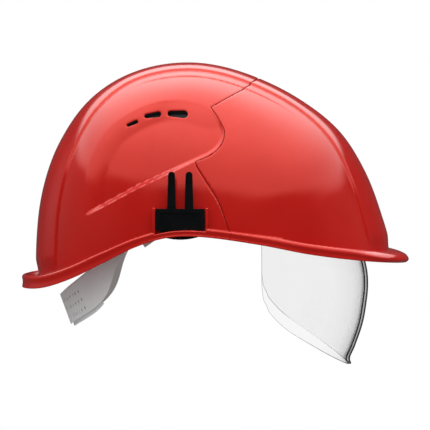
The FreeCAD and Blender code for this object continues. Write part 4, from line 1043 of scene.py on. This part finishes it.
def make_sweatband():
    """Padded brow band, sewn along both edges and by upright seams."""
    steps, seam_every, sides, upright, flatness = 121, 10, 28, 0.8, 0.55
    middle = BAND_WALL + SWEATBAND_GAP + SWEATBAND_WALL / 2
    last = math.acos((SWEATBAND_REAR + SWEATBAND_END - BAND_X) / BAND_LENGTH)
    high = SWEATBAND_HIGH - SWEATBAND_HEM
    rows, sewn = [], []
    for i, turn in enumerate(np.linspace(-last, last, steps)):
        place = band_place(turn, middle)
        east, north = math.cos(turn) / BAND_LENGTH, math.sin(turn) / BAND_WIDTH
        normal = np.array((east, north)) / math.hypot(east, north)
        low = max(SWEATBAND_LOW, float(rim_low(place[0])) + SWEATBAND_RIM_GAP) + SWEATBAND_HEM
        ring = []
        for j in range(sides):
            a = 2 * math.pi * j / sides
            up, out = signed_power(math.sin(a), upright), signed_power(math.cos(a), flatness)
            ring.append((*(place + normal * out * SWEATBAND_START), (low + high) / 2 + up * (high - low) / 2))
            sewn.append(i % seam_every == 0 or abs(up) > SWEATBAND_SEWN)
        rows.append(ring)
    return cushion("sweatband_pad", rows, sewn, SWEATBAND_WALL / 2 - SWEATBAND_START - SWELL_MARGIN)


def make_crown_pad():
    """Round cushion under the crossing of the webbing, sewn at its rim, its middle and along spokes."""
    rings, turns, roundness = 22, 96, 5
    centre = np.array((HARNESS_X, 0.0, WEBBING_CROWN - PAD_CURVE - PAD_SINK))
    middle = PAD_CURVE - PAD_DEPTH / 2
    top = [(i / rings, 1) for i in range(1, rings + 1)]
    bottom = [(i / rings, -1) for i in range(rings - 1, 0, -1)]
    sections, sewn = [], []
    for share, side in top + bottom:
        radius = middle + PAD_START * side * math.sqrt(1 - share**roundness)
        lean = math.asin((PAD_RADIUS - PAD_HEM) * share / middle)
        row = []
        for j in range(turns):
            a = 2 * math.pi * j / turns
            row.append(centre + radius * np.array((
                math.sin(lean) * math.cos(a), math.sin(lean) * math.sin(a), math.cos(lean))))
            on_spoke = j % (turns // PAD_SPOKES) == 0
            sewn.append(on_spoke or share > PAD_RIM_SEWN or share < PAD_HUB_SEWN)
        sections.append(row)
    return cushion("crown_cushion", sections, sewn, PAD_DEPTH / 2 - PAD_START - SWELL_MARGIN)


def bevelled_box(low, high, radius):
    """Points and faces of a box with rounded edges."""
    bm = bmesh.new()
    bmesh.ops.create_cube(bm, size=1.0)
    low, high = np.array(low, float), np.array(high, float)
    for vert in bm.verts:
        vert.co = Vector((low + high) / 2 + np.array(vert.co) * (high - low))
    bmesh.ops.bevel(bm, geom=bm.edges[:], offset=radius, segments=3, profile=0.5, affect="EDGES")
    faces = faces_of(bm)
    points = [tuple(v.co) for v in bm.verts]
    bm.free()
    return points, faces


def make_adapter_ribs():
    """Ribs of the shell at both sides of each accessory adapter."""
    half = ADAPTER_PLATE_WIDTH / 2
    parts = []
    for side in (-1, 1):
        near, far = sorted((side * RIB_INNER, side * RIB_OUTER))
        for x in (ADAPTER_X - half - RIB_GAP - RIB_WALL, ADAPTER_X + half + RIB_GAP):
            parts.append(bevelled_box((x, near, RIB_LOW), (x + RIB_WALL, far, RIB_HIGH), RIB_BEVEL))
    return joined("adapter_ribs", parts)


# ---- materials ----


class Nodes:
    """Short form for building the node tree of a material or world."""

    def __init__(self, owner):
        self.owner = owner
        owner.use_nodes = True
        self.tree = owner.node_tree
        self.tree.nodes.clear()

    def add(self, kind, inputs=None, **settings):
        """New node; each input is the output socket that feeds it, or a plain value."""
        node = self.tree.nodes.new("ShaderNode" + kind)
        for key, value in settings.items():
            setattr(node, key, value)
        for key, value in (inputs or {}).items():
            if isinstance(value, bpy.types.NodeSocket):
                self.tree.links.new(value, node.inputs[key])
            else:
                node.inputs[key].default_value = value
        return node

    def finish(self, shader, kind="Material"):
        self.add("Output" + kind, {"Surface": shader.outputs[0]})
        return self.owner

    def noise(self, scale, detail=4.0, stretch=None):
        place = self.add("TexCoord").outputs["Object"]
        if stretch:
            place = self.add("Mapping", {"Vector": place, "Scale": stretch}).outputs["Vector"]
        return self.add("TexNoise", {"Vector": place, "Scale": scale, "Detail": detail}).outputs["Fac"]

    def ramp(self, source, low, high, start=0.3, end=0.7, **settings):
        limits = {"From Min": start, "From Max": end, "To Min": low, "To Max": high}
        return self.add("MapRange", {"Value": source, **limits}, **settings).outputs["Result"]

    def maths(self, operation, first, second):
        return self.add("Math", {0: first, 1: second}, operation=operation).outputs[0]

    def blend(self, factor, first, second):
        """Colour between two colours."""
        node = self.add("Mix", {"Factor": factor}, data_type="RGBA")
        colours = [s for s in node.inputs if s.type == "RGBA"]
        for socket, value in zip(colours, (first, second)):
            socket.default_value = (*value, 1.0)
        return [s for s in node.outputs if s.type == "RGBA"][0]

    def bump(self, height, strength, distance):
        inputs = {"Height": height, "Strength": strength, "Distance": distance}
        return self.add("Bump", inputs).outputs["Normal"]

    def mix(self, factor, first, second):
        """Shader between the shaders of two nodes."""
        return self.add("MixShader", {0: factor, 1: first.outputs[0], 2: second.outputs[0]})

    def principled(self, colour, rough, normal, more):
        """The finished material, with a principled surface."""
        inputs = {"Base Color": colour, "Roughness": rough, "Normal": normal, **more}
        return self.finish(self.add("BsdfPrincipled", inputs))


def material_nodes(name):
    return Nodes(bpy.data.materials.new(name))


def moulded_plastic(name, dark, light, gloss, grain, grain_depth, specular=0.5, tint=(1.0, 1.0, 1.0)):
    """Moulded plastic: slow colour drift, fine grain and uneven gloss."""
    drift, sheen_patch = (25.0, 3.0), (60.0, 5.0)
    n = material_nodes(name)
    colour = n.blend(n.ramp(n.noise(*drift), 0.0, 1.0), dark, light)
    rough = n.ramp(n.noise(*sheen_patch), *gloss)
    normal = n.bump(n.noise(grain, 2.0), 1.0, grain_depth)
    return n.principled(colour, rough, normal, {
        "Specular IOR Level": specular, "Specular Tint": (*tint, 1.0)})


def clear_polycarbonate(name, tone, gloss):
    """Clear sheet: see-through face on, darker and more reflective at a glancing angle.

    `tone` lists (how edge-on, transmitted share) pairs, `gloss` the reflected share from face on
    to edge on."""
    white, haze, haze_patch, gloss_from, gloss_to = 0.95, (0.09, 0.13), 9.0, 0.3, 1.0
    n = material_nodes(name)
    edge = n.add("LayerWeight", {"Blend": 0.5}).outputs["Facing"]
    ramp = n.add("ValToRGB", {"Fac": edge})
    stops = ramp.color_ramp.elements
    for stop, (place, value) in zip(stops, (tone[0], tone[-1])):
        stop.position, stop.color = place, (value, value, value, 1)
    for place, value in tone[1:-1]:
        stops.new(place).color = (value, value, value, 1)
    rough = n.ramp(n.noise(haze_patch), *haze)
    clear = n.add("BsdfTransparent", {"Color": ramp.outputs["Color"]})
    polish = n.add("BsdfGlossy", {"Roughness": rough, "Color": (white, white, white, 1)})
    return n.finish(n.mix(n.ramp(edge, *gloss, gloss_from, gloss_to), clear, polish))


def zinc_steel(name):
    """Plated steel: colour patches and fine streaks."""
    dull, bright, gloss = (0.42, 0.42, 0.44), (0.62, 0.62, 0.64), (0.28, 0.5)
    patch, streak, stretch, streak_strength, streak_depth = 80.0, 900.0, (1.0, 0.08, 1.0), 0.4, 0.0001
    n = material_nodes(name)
    streaks = n.noise(streak, 2.0, stretch)
    colour = n.blend(n.ramp(n.noise(patch), 0.0, 1.0), dull, bright)
    normal = n.bump(streaks, streak_strength, streak_depth)
    return n.principled(colour, n.ramp(streaks, *gloss), normal, {"Metallic": 1.0})


def woven(name, dark, light, pitch, depth):
    """Woven cloth: crossed sets of threads, with thread-to-thread variation."""
    waves_per_pitch, distortion, strength, sheen = 3.2, 0.6, 0.7, 0.3
    gloss, gloss_patch, colour_from, colour_to = (0.75, 0.95), 200.0, 0.1, 1.2
    n = material_nodes(name)
    place = n.add("TexCoord").outputs["Object"]
    scale = 1.0 / pitch / waves_per_pitch
    wave = {"Vector": place, "Scale": scale, "Distortion": distortion, "Detail": 1.0}
    threads = [n.add("TexWave", wave, bands_direction=axis).outputs["Fac"] for axis in "XYZ"]
    height = n.maths("ADD", n.maths("MULTIPLY", threads[0], threads[1]), threads[2])
    colour = n.blend(n.ramp(height, 0.0, 1.0, colour_from, colour_to), dark, light)
    rough = n.ramp(n.noise(gloss_patch), *gloss)
    return n.principled(colour, rough, n.bump(height, strength, depth), {"Sheen Weight": sheen})


# Dark and light colour, roughness range, grains per metre, grain depth, highlight and its tint.
PLASTICS = {
    "shell_red": (
        (0.41, 0.009, 0.007), (0.45, 0.012, 0.009), (0.10, 0.15), 380.0, 0.000006, 0.9, (1.0, 0.24, 0.19)),
    "guide_black": ((0.012, 0.012, 0.013), (0.02, 0.02, 0.021), (0.4, 0.55), 1500.0, 0.00004),
    "adapter_black": (
        (0.0015, 0.002, 0.0022), (0.0035, 0.0045, 0.005), (0.32, 0.45), 1800.0, 0.00004, 0.12),
    "rivet_black": ((0.008, 0.008, 0.008), (0.015, 0.015, 0.015), (0.3, 0.45), 1500.0, 0.00003),
    "shoe_white": ((0.68, 0.68, 0.64), (0.78, 0.78, 0.74), (0.35, 0.5), 1200.0, 0.00003),
    "harness_grey": ((0.76, 0.755, 0.76), (0.84, 0.835, 0.84), (0.38, 0.5), 1400.0, 0.00004),
}
# Tone curve and reflected share.
SHEETS = {
    "visor_clear": (
        [(0.0, 0.985), (0.55, 0.975), (0.72, 0.93), (0.81, 0.66), (0.87, 0.14), (1.0, 0.01)], (0.025, 0.10)),
    "visor_edge": ([(0.0, 0.40), (0.5, 0.36), (1.0, 0.2)], (0.10, 0.5)),
}
# Dark and light colour, thread pitch and thread depth in metres.
CLOTHS = {
    "sweatband_foam": ((0.012, 0.012, 0.014), (0.05, 0.05, 0.055), 0.0012, 0.0002),
    "pad_foam": ((0.014, 0.014, 0.016), (0.06, 0.06, 0.065), 0.0014, 0.0002),
    "webbing_yellow": ((0.42, 0.24, 0.01), (0.78, 0.52, 0.03), 0.0011, 0.0003),
}


def make_materials():
    materials = {"screw_steel": zinc_steel("screw_steel")}
    for build, table in ((moulded_plastic, PLASTICS), (clear_polycarbonate, SHEETS), (woven, CLOTHS)):
        materials.update({name: build(name, *values) for name, values in table.items()})
    return materials


def paint(obj, material):
    """Sets the first material; clearing an empty list would reset the faces' material numbers."""
    if obj.data.materials:
        obj.data.materials.clear()
    obj.data.materials.append(material)


# ---- studio ----

VIEW_DISTANCE = 2.5
VIEW_AZIMUTH, VIEW_ELEVATION = 0.8, 2.2
VIEW_TARGET = (0.0011, 0.0, 0.0168)
VIEW_LENS, VIEW_SENSOR, VIEW_CLIP = 274.0, 36.0, 20.0
FLOOR_HEIGHT, FLOOR_REACH, FLOOR_TONE = -160.0, 3000.0, 0.8
# Steps of brightness: where each starts and ends along a direction, and its value on both sides.
ROOM_LIGHT, SKY_LIGHT = (-0.9, 0.1, 0.42, 0.52), (0.05, 0.95, 0.0, 1.95)
SOFTBOX_RIM, SOFTBOX_MIDDLE = (0.36, 0.42, 0.0, 2.1), (0.45, 0.97, 0.0, 2.6)
REAR_PANEL, FRONT_PANEL = (-0.55, -0.90, 0.0, 0.26), (0.82, 0.95, 0.0, 0.16)
PANEL_FOOT, DIM_FLOOR = (-0.15, 0.1, 0.0, 1.0), (-0.6, -0.1, 0.16, 0.06)


def make_camera():
    data = bpy.data.cameras.new("camera")
    data.lens, data.sensor_width, data.clip_end = VIEW_LENS, VIEW_SENSOR, VIEW_CLIP
    camera = bpy.data.objects.new("camera", data)
    bpy.context.scene.collection.objects.link(camera)
    (level, up), (ahead, aside) = heading(VIEW_ELEVATION), heading(VIEW_AZIMUTH)
    away = Vector((aside * level, -ahead * level, up))
    camera.location = Vector(VIEW_TARGET) + away * VIEW_DISTANCE
    camera.rotation_euler = (-away).to_track_quat("-Z", "Y").to_euler()
    bpy.context.scene.camera = camera


def make_world():
    """White to the camera; to everything else, an overhead softbox above a darker room."""
    world = bpy.data.worlds.new("studio")
    bpy.context.scene.world = world
    n = Nodes(world)

    def step(source, start, end, low, high):
        return n.ramp(source, low, high, start, end, interpolation_type="SMOOTHSTEP")

    def background(strength):
        return n.add("Background", {"Strength": strength, "Color": (1, 1, 1, 1)})

    direction = n.add("SeparateXYZ", {0: n.add("TexCoord").outputs["Generated"]})
    x, _, z = direction.outputs
    # soft light on matt surfaces: bright above, dim below
    soft = n.maths("ADD", step(z, *ROOM_LIGHT), step(z, *SKY_LIGHT))
    # what polished surfaces see: an overhead softbox, pale panels fore and aft, a dim floor
    box = n.maths("ADD", step(z, *SOFTBOX_RIM), step(z, *SOFTBOX_MIDDLE))
    side = n.maths("ADD", step(x, *REAR_PANEL), step(x, *FRONT_PANEL))
    side = n.maths("MULTIPLY", side, step(z, *PANEL_FOOT))
    mirror = n.maths("ADD", n.maths("ADD", box, side), step(z, *DIM_FLOOR))
    path = n.add("LightPath").outputs
    lit = n.mix(path["Is Glossy Ray"], background(soft), background(mirror))
    n.finish(n.mix(path["Is Camera Ray"], lit, background(1.0)), "World")


def make_floor():
    """Pale seamless floor: white to the eye like the backdrop, and see-through from below."""
    corner_signs = ((-1, -1), (1, -1), (1, 1), (-1, 1))
    points = [(x * FLOOR_REACH, y * FLOOR_REACH, FLOOR_HEIGHT) for x, y in corner_signs]
    obj = new_object("floor", points, [[0, 1, 2, 3]])
    n = material_nodes("floor_white")
    plain = n.add("BsdfDiffuse", {"Color": (FLOOR_TONE, FLOOR_TONE, FLOOR_TONE, 1)})
    seen = n.mix(n.add("LightPath").outputs["Is Camera Ray"], plain, n.add("Emission"))
    below = n.add("NewGeometry").outputs["Backfacing"]
    paint(obj, n.finish(n.mix(below, seen, n.add("BsdfTransparent"))))
    obj.visible_glossy = obj.visible_diffuse = obj.visible_shadow = False


# ---- assembly ----

CAD_EDGE, CAD_EDGE_STEPS = 0.25, 2


def dress_cad(frame, materials):
    """Materials and softened edges for the CAD parts."""
    slots = {part["node"]: part["material_slot"] for part in frame["record"]["subparts"]}
    for name, obj in frame["nodes"].items():
        paint(obj, materials[slots[name]])
        bevel = obj.modifiers.new("edge", "BEVEL")
        bevel.width, bevel.segments, bevel.limit_method = CAD_EDGE * MM, CAD_EDGE_STEPS, "ANGLE"


def make_pieces(materials):
    """Every drawn piece, on its body and in place of its CAD node."""
    rear, front = make_shells()
    base, outside_count = make_base_dome()
    pane = make_lens()
    pieces = [
        (make_sweatband(), "helmet", "sweatband_foam", "sweatband"),
        (make_crown_pad(), "helmet", "pad_foam", "crown_pad"),
    ]
    for layer, (node, degrees) in enumerate(WEBBING_ANGLES.items()):
        pieces.append((make_webbing("strap_" + node, degrees, layer), "helmet", "webbing_yellow", node))
    pieces += [
        (make_adapter_ribs(), "helmet", "shell_red", "main_shell"),
        (make_seam_web(), "helmet", "shell_red", "main_shell"),
        # dark sheets behind the vents: painted shade for their shaded inside
        (make_vent_shade_sheets(), "helmet", "adapter_black", "main_shell"),
        (rear, "helmet", "shell_red", "main_shell"),
        (base, "helmet", "shell_red", "main_shell"),
        (front, "helmet", "shell_red", "front_shell"),
        (pane, "visor", "visor_clear", "visor_lens"),
    ]
    for obj, body, slot, node in pieces:
        paint(obj, materials[slot])
        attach(obj, body)
        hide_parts(node)
    # second materials: black painted shade on the rear shell's vent walls and on the inner dome's outside,
    # and the lens's edge material
    for obj, second in ((rear, "guide_black"), (pane, "visor_edge"), (base, "guide_black")):
        obj.data.materials.append(materials[second])
    # the inner dome's whole outer side is black: painted shade in the visor's pocket
    for polygon in list(base.data.polygons)[:outside_count]:
        polygon.material_index = 1


def main():
    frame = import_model()
    scene = bpy.context.scene
    scene.view_settings.view_transform = "Standard"
    scene.view_settings.look = "None"
    materials = make_materials()
    dress_cad(frame, materials)
    make_pieces(materials)
    make_world()
    make_floor()
    make_camera()


main()
